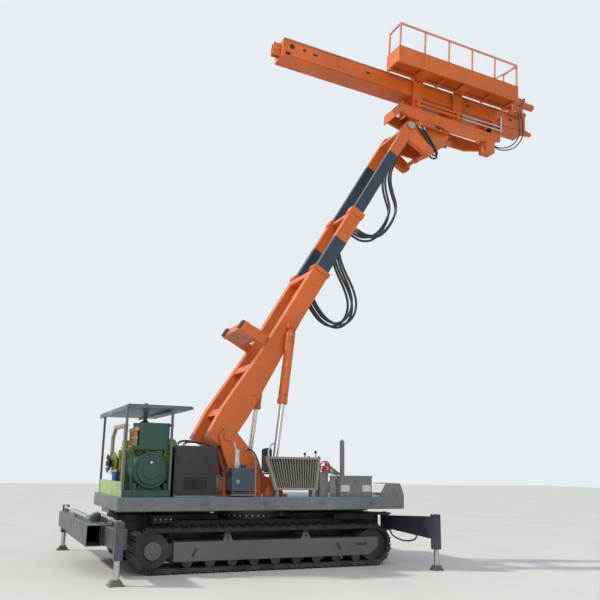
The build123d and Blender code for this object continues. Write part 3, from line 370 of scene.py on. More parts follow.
def heads(bm, where, places, out, across):
    """Hex bolt heads on their washers, standing out along one direction."""
    rim = across * 0.68
    washer = ((0, -0.002), (rim, -0.002), (rim, 0.003), (0, 0.003))
    flat = across * 0.56
    top = across * 0.6
    head = ((0, 0.002), (flat, 0.002), (flat, across * 0.5), (flat * 0.82, top), (0, top))
    for place in places:
        turned(bm, where, place, out, washer, 14)
        turned(bm, where, place, out, head, 6)


def ring_of_heads(bm, where, count, radius, height, across):
    """Bolt heads standing out all round an upright ring."""
    for index in range(count):
        angle = 2 * math.pi * index / count
        out = Vector((math.cos(angle), math.sin(angle), 0))
        heads(bm, where, [out * radius + Vector((0, 0, height))], out, across)


def disc(radius, height):
    """Half the section of a plain disc or cylinder, for the lathe."""
    return ((0, 0), (radius, 0), (radius, height), (0, height))


def stud(radius, shoulder, tip, height):
    """Half the section of a stud: straight up to its shoulder, then narrower to its tip."""
    return ((0, 0), (radius, 0), (radius, shoulder), (tip, height), (0, height))


up = (0, 0, 1)
nearwards = (0, -1, 0)
dark_enamel = enamel("dark_enamel", (0.013, 0.014, 0.016), rough=0.55, dust=0.25, grime=0.7)
ring_steel = enamel("ring_steel", (0.10, 0.095, 0.09), rough=0.5, dust=0.3, grime=0.7, metal=0.6)
dressed("car_body", dark_enamel, 0.006)
dressed("slew_ring", ring_steel, 0.004)
base_body = body_of("car_body")
bm = bmesh.new()
ring_of_heads(bm, ground, 36, 0.62, 0.855, 0.026)
made("ring_bolts", bm, plated, base_body)
bm = bmesh.new()
slab(bm, ground, (-1.98, -0.80, 0.76), (-1.62, -0.66, 0.90))
slab(bm, ground, (1.45, -0.79, 0.78), (2.30, -0.74, 0.89))
made("valve_block", bm, dark_enamel, base_body, 0.006)
bm = bmesh.new()
for x in (-1.93, -1.84, -1.75, -1.66):
    turned(bm, ground, (x, -0.80, 0.83), nearwards, stud(0.018, 0.03, 0.012, 0.05), 12)
made("valve_fittings", bm, plated, base_body)

# Tracks: forged shoes with grouser bars, four bolts to a shoe, worn and dusty. The side frames'
# beams and tabs are grey; their rollers, sprocket, idler and end blocks are painted black as shade.
track_steel = enamel("track_steel", (0.017, 0.016, 0.016), rough=0.65, dust=0.25, grime=0.45, metal=0.35)
frame_grey = enamel("frame_grey", (0.105, 0.105, 0.102), rough=0.5, dust=0.4, grime=0.7)
# Near-black steel for dark parts, also used as painted shade on the track frames' rollers and ends and on
# the slots of the side beams and the mast.
black_and_shade = enamel("black_steel_and_painted_shade", (0.009, 0.009, 0.009), rough=0.45, dust=0.15, grime=0.3)
shoe_line = 0.332
hub_height = 0.37
half_run = 2.03
pitch = (4 * half_run + 2 * math.pi * shoe_line) / 60


def shoe_place(distance):
    """Place and outward direction on the line that the shoes follow, in x and z."""
    bend = math.pi * shoe_line
    lap = 2 * half_run + bend
    side = 1 if distance < lap else -1
    distance %= lap
    if distance < 2 * half_run:
        return side * (distance - half_run), -side * shoe_line, 0, -side
    turned_by = (distance - 2 * half_run) / shoe_line
    out_x, out_z = side * math.sin(turned_by), -side * math.cos(turned_by)
    return side * half_run + shoe_line * out_x, shoe_line * out_z, out_x, out_z


def side_frame_is_grey(middle, normal):
    """The side beam with its tabs, and the hub's cap, are grey; all the rest is painted black as shade."""
    across = abs(middle.y)
    hub_cap = middle.x < -1.88 and across > 1.20
    flank = across > 1.20 or (abs(normal.y) < 0.5 and across < 1.2)
    side_beam = -1.70 < middle.x < 2.125 and 0.19 < middle.z < 0.60 and flank
    return side_beam or hub_cap


beam_face = 1.255
# Black slabs on the side beams' faces: painted shade standing for the dark slots in them.
slot_shades = (
    # x, z, width, height, lean
    (-1.34, 0.333, 0.04, 0.15, 0.5),
    (1.31, 0.365, 0.06, 0.14, -0.5),
    (1.77, 0.385, 0.22, 0.04, 0),
)
for side, sign in (("near", -1), ("far", 1)):
    dressed(f"track_{side}", track_steel, None)
    # The frame's rollers, sprocket, idler and end blocks are painted black as shade; only the side beam and
    # hub cap keep the grey.
    dressed(f"track_frame_{side}", black_and_shade, 0.005, frame_grey, side_frame_is_grey)
    bm = bmesh.new()
    for index in range(60):
        x, z, out_x, out_z = shoe_place((index + 0.5) * pitch)
        for step in (-0.048, 0.048):
            for y in (-0.17, -0.06, 0.06, 0.17):
                place = (
                    x - out_z * step + out_x * 0.014,
                    sign * 1.02 + y,
                    hub_height + z + out_x * step + out_z * 0.014,
                )
                turned(bm, ground, place, (out_x, 0, out_z), disc(0.013, 0.008), 6)
    made(f"shoe_bolts_{side}", bm, track_steel, base_body)
    bm = bmesh.new()
    ring = []
    for index in range(10):
        angle = index * math.pi / 5
        ring.append((-half_run + 0.11 * math.cos(angle), sign * 1.26, hub_height + 0.11 * math.sin(angle)))
    heads(bm, ground, ring, (0, sign, 0), 0.020)
    cap = ((0, 0), (0.06, 0), (0.05, 0.012), (0, 0.012))
    turned(bm, ground, (-half_run, sign * 1.258, hub_height), (0, sign, 0), cap, 24)
    turned(bm, ground, (half_run, sign * 1.16, hub_height), (0, sign, 0), stud(0.12, 0.03, 0.07, 0.06), 28)
    made(f"hub_bolts_{side}", bm, frame_grey, base_body)
    # The slots are thin black slabs proud of the face: painted shade.
    bm = bmesh.new()
    for x, z, wide, high, lean in slot_shades:
        slot = ground @ Matrix.Translation((x, sign * beam_face, z)) @ Matrix.Rotation(lean, 4, "Y")
        slab(bm, slot, (-wide / 2, -0.0015, -high / 2), (wide / 2, 0.0015, high / 2))
    made(f"slot_shades_{side}", bm, black_and_shade, base_body)
    bm = bmesh.new()
    places = [(tab, sign * beam_face, 0.555) for tab in (-0.77, 0.67)]
    heads(bm, ground, places, (0, sign, 0), 0.036)
    made(f"tab_bolts_{side}", bm, black_and_shade, base_body)

# Outriggers: two cross tubes with sliding arms at the rear, two swinging arms at the front,
# each with a square leg tube, a bare rod and a folded steel foot on a ball pin
outrigger_grey = enamel("outrigger_grey", (0.060, 0.064, 0.076), rough=0.42, dust=0.5, grime=0.6)
front_navy = enamel("front_navy", (0.022, 0.028, 0.045), rough=0.4, dust=0.45, grime=0.6)
jack_rod = surface("jack_rod", (0.50, 0.50, 0.49), 0.26, metal=1.0, low=0.88, high=1.05, scale=3, bump=0.0)
dressed(
    "outrigger_box", outrigger_grey, 0.005, jack_rod,
    lambda middle, normal: middle.z > 0.81 and abs(normal.z) < 0.9,
)
for side, sign, leg_y in (("near", -1, -2.08), ("far", 1, 2.90)):
    dressed(
        f"rear_arm_{side}", outrigger_grey, 0.004, jack_rod,
        lambda middle, normal: 0.80 < middle.z < 0.89 and abs(middle.y) < abs(leg_y) - 0.08,
    )
    dressed(f"front_arm_{side}", front_navy, 0.004)
    for end in ("rear", "front"):
        dressed(f"{end}_leg_{side}", outrigger_grey, 0.003, jack_rod, lambda middle, normal: middle.z > 0.13)
    leg_x = -2.74 if sign < 0 else -2.94
    for end, x, y, top in (("rear", leg_x, leg_y, 0.89), ("front", 2.79, sign * 2.13, 0.935)):
        bm = bmesh.new()
        corners = [(x + along, y + across, top) for along in (-0.045, 0.045) for across in (-0.045, 0.045)]
        heads(bm, ground, corners, up, 0.018)
        turned(bm, ground, (x, y, top), up, disc(0.028, 0.006), 18)
        arm_body = body_of(f"{end}_arm_{side}")
        made(f"{end}_leg_cap_{side}", bm, outrigger_grey, arm_body)
    bm = bmesh.new()
    bar(bm, ground, (2.64, sign * 0.62, 0.838), (2.64, sign * 0.62, 0.850), 0.055, 24)
    heads(bm, ground, [(2.64, sign * 0.62, 0.848)], up, 0.040)
    made(f"swing_pin_{side}", bm, plated, arm_body)
bm = bmesh.new()
dome = ((0, 0), (0.075, 0), (0.08, 0.03), (0.08, 0.11), (0.05, 0.14), (0, 0.145))
turned(bm, ground, (-2.84, -0.47, 0.79), up, dome, 24)
slab(bm, ground, (-2.895, -0.40, 0.79), (-2.785, -0.22, 0.88))
valve_green = enamel("valve_green", (0.020, 0.060, 0.042), rough=0.35)
made("box_valve", bm, valve_green, base_body, 0.004)

# Deck: folded grey side channels round a blue-grey chequer plate, with bolted cheeks at the
# front end and lashing rings along its edge
deck_side = 1.21
deck_grey = enamel("deck_grey", (0.150, 0.150, 0.148), rough=0.5, dust=0.3, grime=0.5)
chequer = enamel("chequer_plate", (0.115, 0.165, 0.240), rough=0.42, dust=0.5, grime=0.5, tread=0.004)
dressed("deck_frame", deck_grey, 0.006, chequer, lambda middle, normal: middle.z > 1.19 and normal.z > 0.9)
dressed("front_cheek", deck_grey, 0.004)
bm = bmesh.new()
for sign in (-1, 1):
    for x in (-2.3, -1.2, -0.1, 1.0, 2.05):
        out = sign * (deck_side + 0.028)
        for leg in (x - 0.05, x + 0.05):
            bar(bm, ground, (leg, sign * (deck_side + 0.002), 1.10), (leg, out, 1.10), 0.009, 10)
        bar(bm, ground, (x - 0.058, out, 1.10), (x + 0.058, out, 1.10), 0.009, 10)
    for x in (2.24, 2.40, 2.56):
        heads(bm, ground, [(x, sign * (deck_side + 0.002), 1.23)], (0, sign, 0), 0.028)
made("lashing_rings", bm, deck_grey, "deck")
bm = bmesh.new()
for sign in (-1, 1):
    for x in (-2.0, -1.1, 0.2, 1.4, 2.3):
        inner, outer = sign * (deck_side - 0.0005), sign * (deck_side + 0.0025)
        slab(bm, ground, (x - 0.004, inner, 1.0), (x + 0.004, outer, 1.19))
made("deck_seams", bm, deck_grey, "deck", 0.002)
bm = bmesh.new()
for sign in (-1, 1):
    inner, outer = sign * (deck_side - 0.004), sign * (deck_side + 0.006)
    slab(bm, ground, (-2.638, inner, 1.168), (2.150, outer, 1.203))
made("deck_lip", bm, chequer, "deck", 0.003)

# Power module: green skid and drum under a green cooler, a yellow-green engine with its air
# cleaner and stack, blue fuel filters, brass pipes, and a tin canopy on box-section posts


def collar(inner, outer, height):
    """Half the section of a collar or clamp round a rod or pipe, for the lathe."""
    return ((inner, 0), (outer, 0), (outer, height), (inner, height))


green = enamel("module_green", (0.007, 0.056, 0.036), rough=0.30, dust=0.25, grime=0.35)
lime = enamel("engine_lime", (0.27, 0.36, 0.045), rough=0.4, dust=0.35, grime=0.7)
# A paler lime for the skid's end faces that look towards the sun: painted sunlight.
painted_sunlight_lime = enamel("skid_end_painted_sunlight", (0.30, 0.38, 0.12), rough=0.4, dust=0.35, grime=0.5)
tin = enamel("canopy_tin", (0.085, 0.105, 0.115), rough=0.42, dust=0.25, grime=0.4)
pipe_metal = enamel("air_pipe", (0.34, 0.27, 0.19), rough=0.35, dust=0.35, grime=0.4, metal=0.4)
filter_blue = enamel("filter_blue", (0.03, 0.06, 0.30), rough=0.3, dust=0.2, grime=0.3, chips=1.0)
brass = surface("brass_pipe", (0.42, 0.25, 0.10), 0.35, metal=0.8, low=0.55, scale=16)
# The skid's end faces towards the sun get the paler lime as painted sunlight; the rest stays green.
dressed("engine_skid", green, 0.005, painted_sunlight_lime, lambda middle, normal: normal.x < -0.7 and middle.x < -2.5)
dressed("air_drum", green, 0.006)
dressed("cooler_box", green, 0.006)
dressed("engine", lime, 0.008)
dressed("fuel_filters", filter_blue, 0.006)
dressed("cooler_pipes", brass, 0.003)
dressed("air_pipes", pipe_metal, 0.003)
dressed("canopy", tin, 0.004)
bm = bmesh.new()
for index in range(19):
    y = -1.12 + index * 0.155
    slab(bm, ground, (-2.55, y, 2.699), (-1.45, y + 0.045, 2.715))
made("roof_ribs", bm, tin, "deck", 0.006)
bm = bmesh.new()
turned(bm, ground, (-2.08, -1.062, 1.625), nearwards, ((0, 0), (0.13, 0), (0.12, 0.008), (0, 0.010)), 32)
turned(bm, ground, (-2.10, -1.066, 1.761), nearwards, stud(0.030, 0.02, 0.016, 0.03), 18)
slab(bm, ground, (-2.425, -1.013, 1.985), (-1.735, -1.0, 2.035))
slab(bm, ground, (-2.425, -1.013, 2.36), (-1.735, -1.0, 2.405))
for x in (-2.405, -1.755):
    heads(bm, ground, [(x, -1.012, z) for z in (2.01, 2.14, 2.27, 2.38)], nearwards, 0.016)
for x in (-2.34, -1.82):
    slab(bm, ground, (x - 0.035, -1.0, 1.25), (x + 0.035, -0.3, 1.42))
made("drum_fittings", bm, green, "deck", 0.003)
bm = bmesh.new()
dial = ((0, -0.002), (0.024, -0.002), (0.024, 0.012), (0.019, 0.015), (0, 0.015))
turned(bm, ground, (-2.10, -1.098, 1.761), nearwards, dial, 20)
relief_valve = ((0, 0), (0.022, 0), (0.022, 0.04), (0.034, 0.05), (0.034, 0.08), (0, 0.085))
turned(bm, ground, (-2.02, -0.40, 1.93), up, relief_valve, 16)
made("drum_gauge", bm, plated, "deck")
bm = bmesh.new()
for x, y, low, high, radius in ((-2.30, 0.10, 1.94, 2.15, 0.09), (-1.98, 0.24, 2.03, 2.12, 0.13)):
    turned(bm, ground, (x, y, low), up, stud(radius, high - low - 0.02, radius * 0.8, high - low), 24)
for index in range(6):
    x = -2.24 + index * 0.175
    turned(bm, ground, (x, 0.02, 1.96), nearwards, stud(0.045, 0.05, 0.03, 0.07), 16)
    bar(bm, ground, (x, 0.03, 2.04), (x + 0.03, -0.13, 1.80), 0.009, 8)
    slab(bm, ground, (x - 0.05, 0.06, 2.045), (x + 0.05, 0.42, 2.085))
for z in (1.45, 1.60):
    slab(bm, ground, (-2.36, -0.135, z), (-1.25, -0.118, z + 0.05))
made("engine_castings", bm, lime, "deck", 0.006)
bm = bmesh.new()
stack = ((0, 0), (0.038, 0), (0.038, 0.80), (0.031, 0.80), (0.031, 0.02), (0, 0.02))
turned(bm, ground, (-1.955, 0.30, 2.05), up, stack, 20)
silencer = ((0.038, 0), (0.085, 0.03), (0.085, 0.30), (0.038, 0.33))
turned(bm, ground, (-1.955, 0.30, 2.20), up, silencer, 24)
scorched_steel = surface("scorched_steel", (0.20, 0.17, 0.14), 0.5, metal=0.6, low=0.5)
made("exhaust_stack", bm, scorched_steel, "deck")
bm = bmesh.new()
fan = ground @ Matrix.Translation((-2.512, 0.24, 1.74))
for index in range(8):
    blade = fan @ Matrix.Rotation(index * math.pi / 4, 4, "X") @ Matrix.Rotation(0.5, 4, "Z")
    slab(bm, blade, (-0.004, 0.045, -0.045), (0.004, 0.185, 0.045))
for radius in (0.06, 0.11, 0.16, 0.205):
    wires = []
    for index in range(25):
        angle = index * math.pi / 12
        wires.append((-0.020, radius * math.cos(angle), radius * math.sin(angle)))
    for start, end in zip(wires, wires[1:]):
        bar(bm, fan, start, end, 0.003, 6)
made("fan_and_guard", bm, black_and_shade, "deck")
bm = bmesh.new()
for z in (1.36, 1.40):
    bar(bm, ground, (-2.53, -0.20, z), (-2.53, -1.05, z), 0.010, 8)
for y in (-0.095, 0.035):
    turned(bm, ground, (-2.49, y, 1.60), up, stud(0.056, 0.022, 0.03, 0.04), 20)
for y in (-0.95, -0.80, -0.65, -0.50):
    for z in (2.02, 2.16):
        turned(bm, ground, (-2.352, y, z), up, collar(0.032, 0.037, 0.018), 18)
for y, z in ((-0.62, 2.38), (-0.30, 2.38), (0.10, 2.38)):
    turned(bm, ground, (-2.475, y, z), (0, 1, 0), collar(0.036, 0.042, 0.022), 18)
made("pipe_clips", bm, plated, "deck")

# Cabinet: black folded sheet with a door on two hinges, a handle and louvres, bolted to the
# deck over a pale sill
black = enamel("cabinet_black", (0.013, 0.011, 0.014), rough=0.38, dust=0.35, grime=0.3)
pale_strip = enamel("pale_strip", (0.22, 0.24, 0.26), rough=0.5, dust=0.4, grime=0.5)
dressed("cabinet", black, 0.008)
bm = bmesh.new()
slab(bm, ground, (-1.68, -1.096, 1.27), (-0.99, -1.088, 2.01))
for z in (1.40, 1.86):
    bar(bm, ground, (-1.675, -1.10, z), (-1.675, -1.10, z + 0.09), 0.011, 12)
slab(bm, ground, (-1.07, -1.112, 1.60), (-1.04, -1.096, 1.72))
for index in range(7):
    louvre = ground @ Matrix.Translation((-1.33, -1.098, 1.34 + index * 0.030))
    louvre = louvre @ Matrix.Rotation(0.5, 4, "X")
    slab(bm, louvre, (-0.20, -0.010, -0.009), (0.20, 0.004, 0.009))
for y in (-1.06, -0.71):
    slab(bm, ground, (-1.70, y - 0.012, 2.038), (-0.97, y + 0.012, 2.052))
made("cabinet_door", bm, black, "deck", 0.004)
bm = bmesh.new()
slab(bm, ground, (-1.70, -1.100, 1.203), (-0.965, -1.086, 1.228))
made("cabinet_sill", bm, pale_strip, "deck", 0.003)

# Oil tank: blue-grey welded steel with raised seams, a filler cap on top, a dial on its near
# side, and a pale bar and post beside it
tank_blue = enamel("tank_blue", (0.040, 0.062, 0.095), rough=0.4, dust=0.35, grime=0.35)
dressed("oil_tank", tank_blue, 0.012)
bm = bmesh.new()
for z in (1.26, 1.60):
    slab(bm, ground, (-0.674, -1.064, z), (-0.256, -1.058, z + 0.022))
filler_cap = ((0, 0), (0.05, 0), (0.05, 0.03), (0.062, 0.032), (0.062, 0.062), (0, 0.07))
turned(bm, ground, (-0.40, -0.86, 1.688), up, filler_cap, 24)
made("tank_seams", bm, tank_blue, "deck", 0.003)
bm = bmesh.new()
bar(bm, ground, (-0.235, -1.075, 1.20), (-0.245, -1.075, 1.82), 0.013, 12)
bar(bm, ground, (-0.69, -1.085, 1.235), (-0.23, -1.085, 1.235), 0.012, 12)
turned(bm, ground, (-0.56, -1.058, 1.46), nearwards, stud(0.035, 0.012, 0.026, 0.014), 22)
made("tank_bars", bm, pale_strip, "deck")

# Radiator guard: grey flat slats welded into a frame whose ends lean, with the radiator's
# dark core behind them
guard_grey = enamel("guard_grey", (0.235, 0.215, 0.190), rough=0.45, dust=0.2, grime=0.4)
core_dark = enamel("core_dark", (0.012, 0.011, 0.010), rough=0.7, dust=0.3, grime=0.4, chips=1.0)
dressed(
    "radiator_guard", guard_grey, 0.002, core_dark,
    lambda middle, normal: middle.y > -1.045 and middle.z > 1.30,
)

# Seat: moulded shell with two sewn pads on a pedestal, a bent white tube rail behind it
seat_black = enamel("seat_black", (0.020, 0.020, 0.021), rough=0.55, dust=0.3, grime=0.2, chips=1.0)
white_tube = surface("white_tube", (0.62, 0.62, 0.60), 0.35, low=0.85, high=1.05)


def pad(name, low, high):
    """A crowned pad: its middle stands up, its sides pull in between the corners."""
    bm = bmesh.new()
    slab(bm, ground, low, high)
    bmesh.ops.subdivide_edges(bm, edges=bm.edges, cuts=7, use_grid_fill=True)
    middle = ground @ ((Vector(low) + Vector(high)) / 2)
    half = (Vector(high) - Vector(low)) / 2
    for vert in bm.verts:
        off = vert.co - middle
        share = Vector([off[k] / half[k] for k in range(3)])
        for k in range(3):
            others = [(1 - share[n] ** 2) for n in range(3) if n != k]
            swell = 0.10 * others[0] * others[1] - 0.06
            vert.co[k] = middle[k] + off[k] * (0.94 + swell)
    for vert in bm.verts:
        across = (vert.co - middle).y / half.y
        groove = math.exp(-((abs(across) - 0.55) / 0.06) ** 2) * 0.006
        vert.co += (middle - vert.co).normalized() * groove
    piece = made(name, bm, seat_black, "deck")
    smooth = piece.modifiers.new("smooth", "SUBSURF")
    smooth.levels = smooth.render_levels = 2


pad("seat_cushion", (0.215, -0.585, 1.615), (0.675, -0.175, 1.70))
pad("seat_back", (0.205, -0.58, 1.71), (0.275, -0.18, 2.075))
bm = bmesh.new()
slab(bm, ground, (0.22, -0.57, 1.585), (0.66, -0.19, 1.615))
slab(bm, ground, (0.198, -0.56, 1.64), (0.212, -0.20, 2.05))
pedestal = ((0, 0), (0.13, 0), (0.13, 0.012), (0.05, 0.03), (0.05, 0.30), (0.08, 0.39), (0, 0.39))
turned(bm, ground, (0.44, -0.38, 1.20), up, pedestal, 24)
seat_shell = made("seat_shell", bm, seat_black, "deck", 0.006)
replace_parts(seat_shell, "seat")
bm = bmesh.new()
rail_radius = 0.017
rail_line = [(0.23, 1.20), (0.20, 1.74), (0.17, 2.00), (0.23, 2.13), (0.34, 2.17)]
rail_points = [(x, -0.62, z) for x, z in rail_line]
for start, end in zip(rail_points, rail_points[1:]):
    bar(bm, ground, start, end, rail_radius, 12)
bend = []
for index in range(9):
    angle = index * math.pi / 8
    bend.append((rail_radius * math.sin(angle), rail_radius - rail_radius * math.cos(angle)))
for x, y, z in rail_points[1:-1]:
    turned(bm, ground, (x, y, z - rail_radius), up, bend, 12)
made("seat_rail", bm, white_tube, "deck")

# Controls: a grey box with two blank white panels, a stand of steel levers with black knobs,
# gauges, and a red hand wheel
control_grey = enamel("control_grey", (0.165, 0.150, 0.145), rough=0.45, dust=0.3, grime=0.3)
knob_black = surface("knob_black", (0.02, 0.02, 0.02), 0.25)
wheel_red = enamel("wheel_red", (0.42, 0.020, 0.016), rough=0.35, dust=0.2, grime=0.3)
panel_white = surface("panel_white", (0.50, 0.52, 0.56), 0.5, low=0.9, high=1.05)
dressed("console", control_grey, 0.003, plated, lambda middle, normal: middle.z > 1.645 and middle.x < 1.13)
dressed("control_box", control_grey, 0.006)
dressed("hand_wheel", wheel_red, 0.005)
bm = bmesh.new()
ball = [(0.0265 * math.sin(a * math.pi / 10), -0.0265 * math.cos(a * math.pi / 10)) for a in range(11)]
boot = ((0, 0), (0.030, 0), (0.022, 0.02), (0.016, 0.045), (0, 0.05))
for x, top in ((0.80, 1.96), (0.88, 1.90), (1.02, 2.00), (1.09, 1.90)):
    turned(bm, ground, (x - 0.010, -0.895, top), up, ball, 18)
    turned(bm, ground, (x, -0.895, 1.638), up, boot, 16)
made("lever_knobs", bm, knob_black, "deck")
bm = bmesh.new()
for low_x, high_x in ((1.432, 1.606), (1.872, 2.055)):
    slab(bm, ground, (low_x, -1.1235, 1.295), (high_x, -1.118, 1.412))
made("blank_panels", bm, panel_white, "deck", 0.002)
bm = bmesh.new()
slab(bm, ground, (1.395, -1.125, 1.545), (2.085, -0.695, 1.580))
bar(bm, ground, (1.74, -1.135, 1.44), (1.74, -1.135, 1.51), 0.008, 10)
for z in (1.445, 1.505):
    bar(bm, ground, (1.74, -1.118, z), (1.74, -1.137, z), 0.007, 10)
heads(bm, ground, [(x, -1.120, z) for x in (1.42, 2.06) for z in (1.23, 1.53)], nearwards, 0.016)
turned(bm, ground, (1.465, -1.09, 2.205), up, ((0, 0), (0.022, 0), (0.022, 0.03), (0, 0.036)), 16)
made("box_trim", bm, control_grey, "deck", 0.003)
bm = bmesh.new()
gauge = ((0, 0), (0.034, 0), (0.034, 0.022), (0.028, 0.026), (0, 0.024))
for x, z in ((1.20, 1.70), (1.28, 1.66)):
    turned(bm, ground, (x, -1.0, z), nearwards, gauge, 22)
made("gauges", bm, plated, "deck")

# Turret and boom: plate pedestal and three stages of twin box beams in orange and navy, with
# collars, wear-pad bolts, pin caps and weld beads
orange = (0.60, 0.118, 0.012)
navy = (0.022, 0.036, 0.062)
boom_foot = (-2.8578, -0.400, 2.25)
boom_line = (math.cos(math.radians(59)), 0, math.sin(math.radians(59)))
orange_enamel = enamel("orange_enamel", orange, rough=0.40, dust=0.12, grime=0.3)
mid_enamel = enamel(
    "mid_enamel", navy, rough=0.36, dust=0.25, grime=0.3, band=(orange, boom_foot, boom_line, 4.72)
)
tip_enamel = enamel(
    "tip_enamel", navy, rough=0.36, dust=0.25, grime=0.3, band=(orange, boom_foot, boom_line, 7.30)
)
dressed("turret", orange_enamel, 0.005)
dressed("boom_base", orange_enamel, 0.006)
dressed("boom_mid", mid_enamel, 0.005)
dressed("boom_tip", tip_enamel, 0.004)
dressed("mast_rest", orange_enamel, 0.004)
dressed("rest_pads", rubber, 0.004)


def pin_cap(bm, where, place, out, radius):
    """A pin's keeper plate with three bolts round its middle."""
    turned(bm, where, place, out, stud(radius, 0.010, radius - 0.004, 0.014), 28)
    axis = Vector(out)
    side = axis.orthogonal().normalized()
    bolts = []
    for turned_by in (0.5, 2.6, 4.7):
        arm = Matrix.Rotation(turned_by, 3, axis) @ side * radius * 0.55
        bolts.append(Vector(place) + axis * 0.013 + arm)
    heads(bm, where, bolts, out, 0.024)


cheek_welds = (
    # start and end of each bead, in x and z
    ((-0.56, 1.565), (0.07, 1.565)),
    ((0.085, 1.565), (-0.15, 1.955)),
    ((-0.15, 1.965), (-0.46, 2.31)),
)
bm = bmesh.new()
for sign in (-1, 1):
    pin_cap(bm, ground, (-0.640, sign * 0.680, 2.250), (0, sign, 0), 0.085)
    for x in (-0.60, -0.42, -0.24, -0.06):
        heads(bm, ground, [(x, sign * 0.735, 1.222)], up, 0.034)
    slab(bm, ground, (-0.72, sign * 0.70 - 0.06, 1.198), (0.04, sign * 0.70 + 0.06, 1.222))
    for start, end in cheek_welds:
        for y in (0.620, 0.665):
            bar(bm, ground, (start[0], sign * y, start[1]), (end[0], sign * y, end[1]), 0.006, 8)
for x in (-0.55, -0.25):
    turned(bm, ground, (x, -0.682, 1.38), nearwards, stud(0.075, 0.006, 0.055, 0.012), 24)
made("turret_fittings", bm, orange_enamel, "deck", 0.002)
bm = bmesh.new()
for sign in (-1, 1):
    for y in (sign * 0.600, sign * 0.820):
        pin_cap(bm, ground, (0.230, y, 1.450), (0, math.copysign(1, y - sign * 0.71), 0), 0.050)
made("lift_foot_pins", bm, plated, "deck")
bm = bmesh.new()
slab(bm, ground, (-0.50, -0.690, 1.66), (-0.42, -0.666, 2.02))
bar(bm, ground, (-0.36, -0.672, 1.60), (-0.52, -0.672, 2.14), 0.014, 12)
made("turret_tube", bm, white_tube, "deck", 0.002)
bm = bmesh.new()
for sign in (-1, 1):
    pin_cap(bm, boom, (2.450, sign * 0.770, 0.070), (0, sign, 0), 0.052)
    for offset in (-0.02, 0.24):
        heads(bm, boom, [(3.855, sign * 0.632, offset)], (0, sign, 0), 0.030)
    for s in (3.845, 3.865):
        heads(bm, boom, [(s, sign * 0.42, 0.310), (s, sign * 0.58, 0.310)], up, 0.020)
made("base_fittings", bm, orange_enamel, "boom_base", 0.001)
bm = bmesh.new()
for sign in (-1, 1):
    for offset in (0.0, 0.22):
        heads(bm, boom, [(5.505, sign * 0.610, offset)], (0, sign, 0), 0.028)
made("mid_fittings", bm, mid_enamel, "boom_mid")
bm = bmesh.new()
for s in (7.94, 7.96, 8.02):
    for sign in (-1, 1):
        heads(bm, boom, [(s, sign * 0.568, 0.03), (s, sign * 0.568, 0.19)], (0, sign, 0), 0.022)
made("tip_fittings", bm, tip_enamel, "boom_tip")

# Cylinders: lift pair, tilt and mast shift, painted barrels with ring glands and weld-on ports,
# hard-chrome rods smeared with oil
chrome = surface("rod_chrome", (0.60, 0.56, 0.55), 0.22, metal=1.0, low=0.90, high=1.03, scale=2.5, bump=0.0)
for node in ("lift_barrels", "tilt_barrel", "shift_barrel"):
    dressed(node, orange_enamel, 0.003)
for node in ("lift_rods", "tilt_rod", "shift_rods"):
    dressed(node, chrome, 0.002)
lift_y = 0.705
lift_top = Vector((2.450, 0, 0.070))
lift_foot = boom.inverted() @ ground @ Vector((0.230, 0, 1.450))
lift_axis = (lift_foot - lift_top).normalized()
gland = ((0.0895, 0), (0.098, 0), (0.098, 0.075), (0.0895, 0.080), (0.0895, 0))
bm = bmesh.new()
for sign in (-1, 1):
    barrel_top = lift_top + Vector((0, sign * lift_y, 0))
    turned(bm, boom, barrel_top + lift_axis * 1.428, lift_axis, gland, 28)
    for at in (0.20, 1.34):
        port = barrel_top + lift_axis * at + Vector((0, sign * 0.08, 0))
        turned(bm, boom, port, (0, sign, 0), stud(0.022, 0.04, 0.014, 0.055), 14)
    pipe_top = barrel_top + Vector((0, 0, -0.098))
    bar(bm, boom, pipe_top + lift_axis * 0.25, pipe_top + lift_axis * 1.36, 0.010, 10)
    for at in (0.30, 0.80, 1.30):
        turned(bm, boom, barrel_top + lift_axis * at, lift_axis, collar(0.0895, 0.094, 0.03), 28)
made("lift_barrel_fittings", bm, orange_enamel, "lift_barrels", 0.001)
bm = bmesh.new()
gland_nut = ((0.0215, 0), (0.038, 0), (0.038, 0.055), (0.030, 0.06), (0.0215, 0.06))
for z in (0.46, 0.56):
    turned(bm, mast, (0.94, -0.370, z), (1, 0, 0), gland_nut, 22)
    turned(bm, mast, (-0.30, -0.400, z), nearwards, stud(0.015, 0.02, 0.010, 0.03), 12)
made("shift_fittings", bm, plated, "cradle")

# Head frame and cradle: plated frame on the boom's head pin with the mast's slewing ring, its
# bolts, and the cradle's box posts with gussets and slide bolts
dressed("head_frame", orange_enamel, 0.004)
dressed("cradle", orange_enamel, 0.005)
bm = bmesh.new()
for sign in (-1, 1):
    pin_cap(bm, boom, (8.200, sign * 0.600, 0.110), (0, sign, 0), 0.088)
ring_of_heads(bm, mast, 24, 0.40, -0.005, 0.024)
made("head_bolts", bm, plated, "head_frame")
bm = bmesh.new()
ring_of_heads(bm, mast, 24, 0.38, 0.055, 0.022)
for post in (-0.42, 0.70, 1.86):
    for sign in (-1, 1):
        for step in (0.05, 0.21):
            heads(bm, mast, [(post + step, sign * 0.330, z) for z in (0.375, 0.675)], (0, sign, 0), 0.024)
for x in (-0.60, -0.10, 0.50, 0.90, 1.35, 1.75):
    heads(bm, mast, [(x, -0.330, 0.335)], nearwards, 0.024)
made("cradle_bolts", bm, orange_enamel, "cradle")
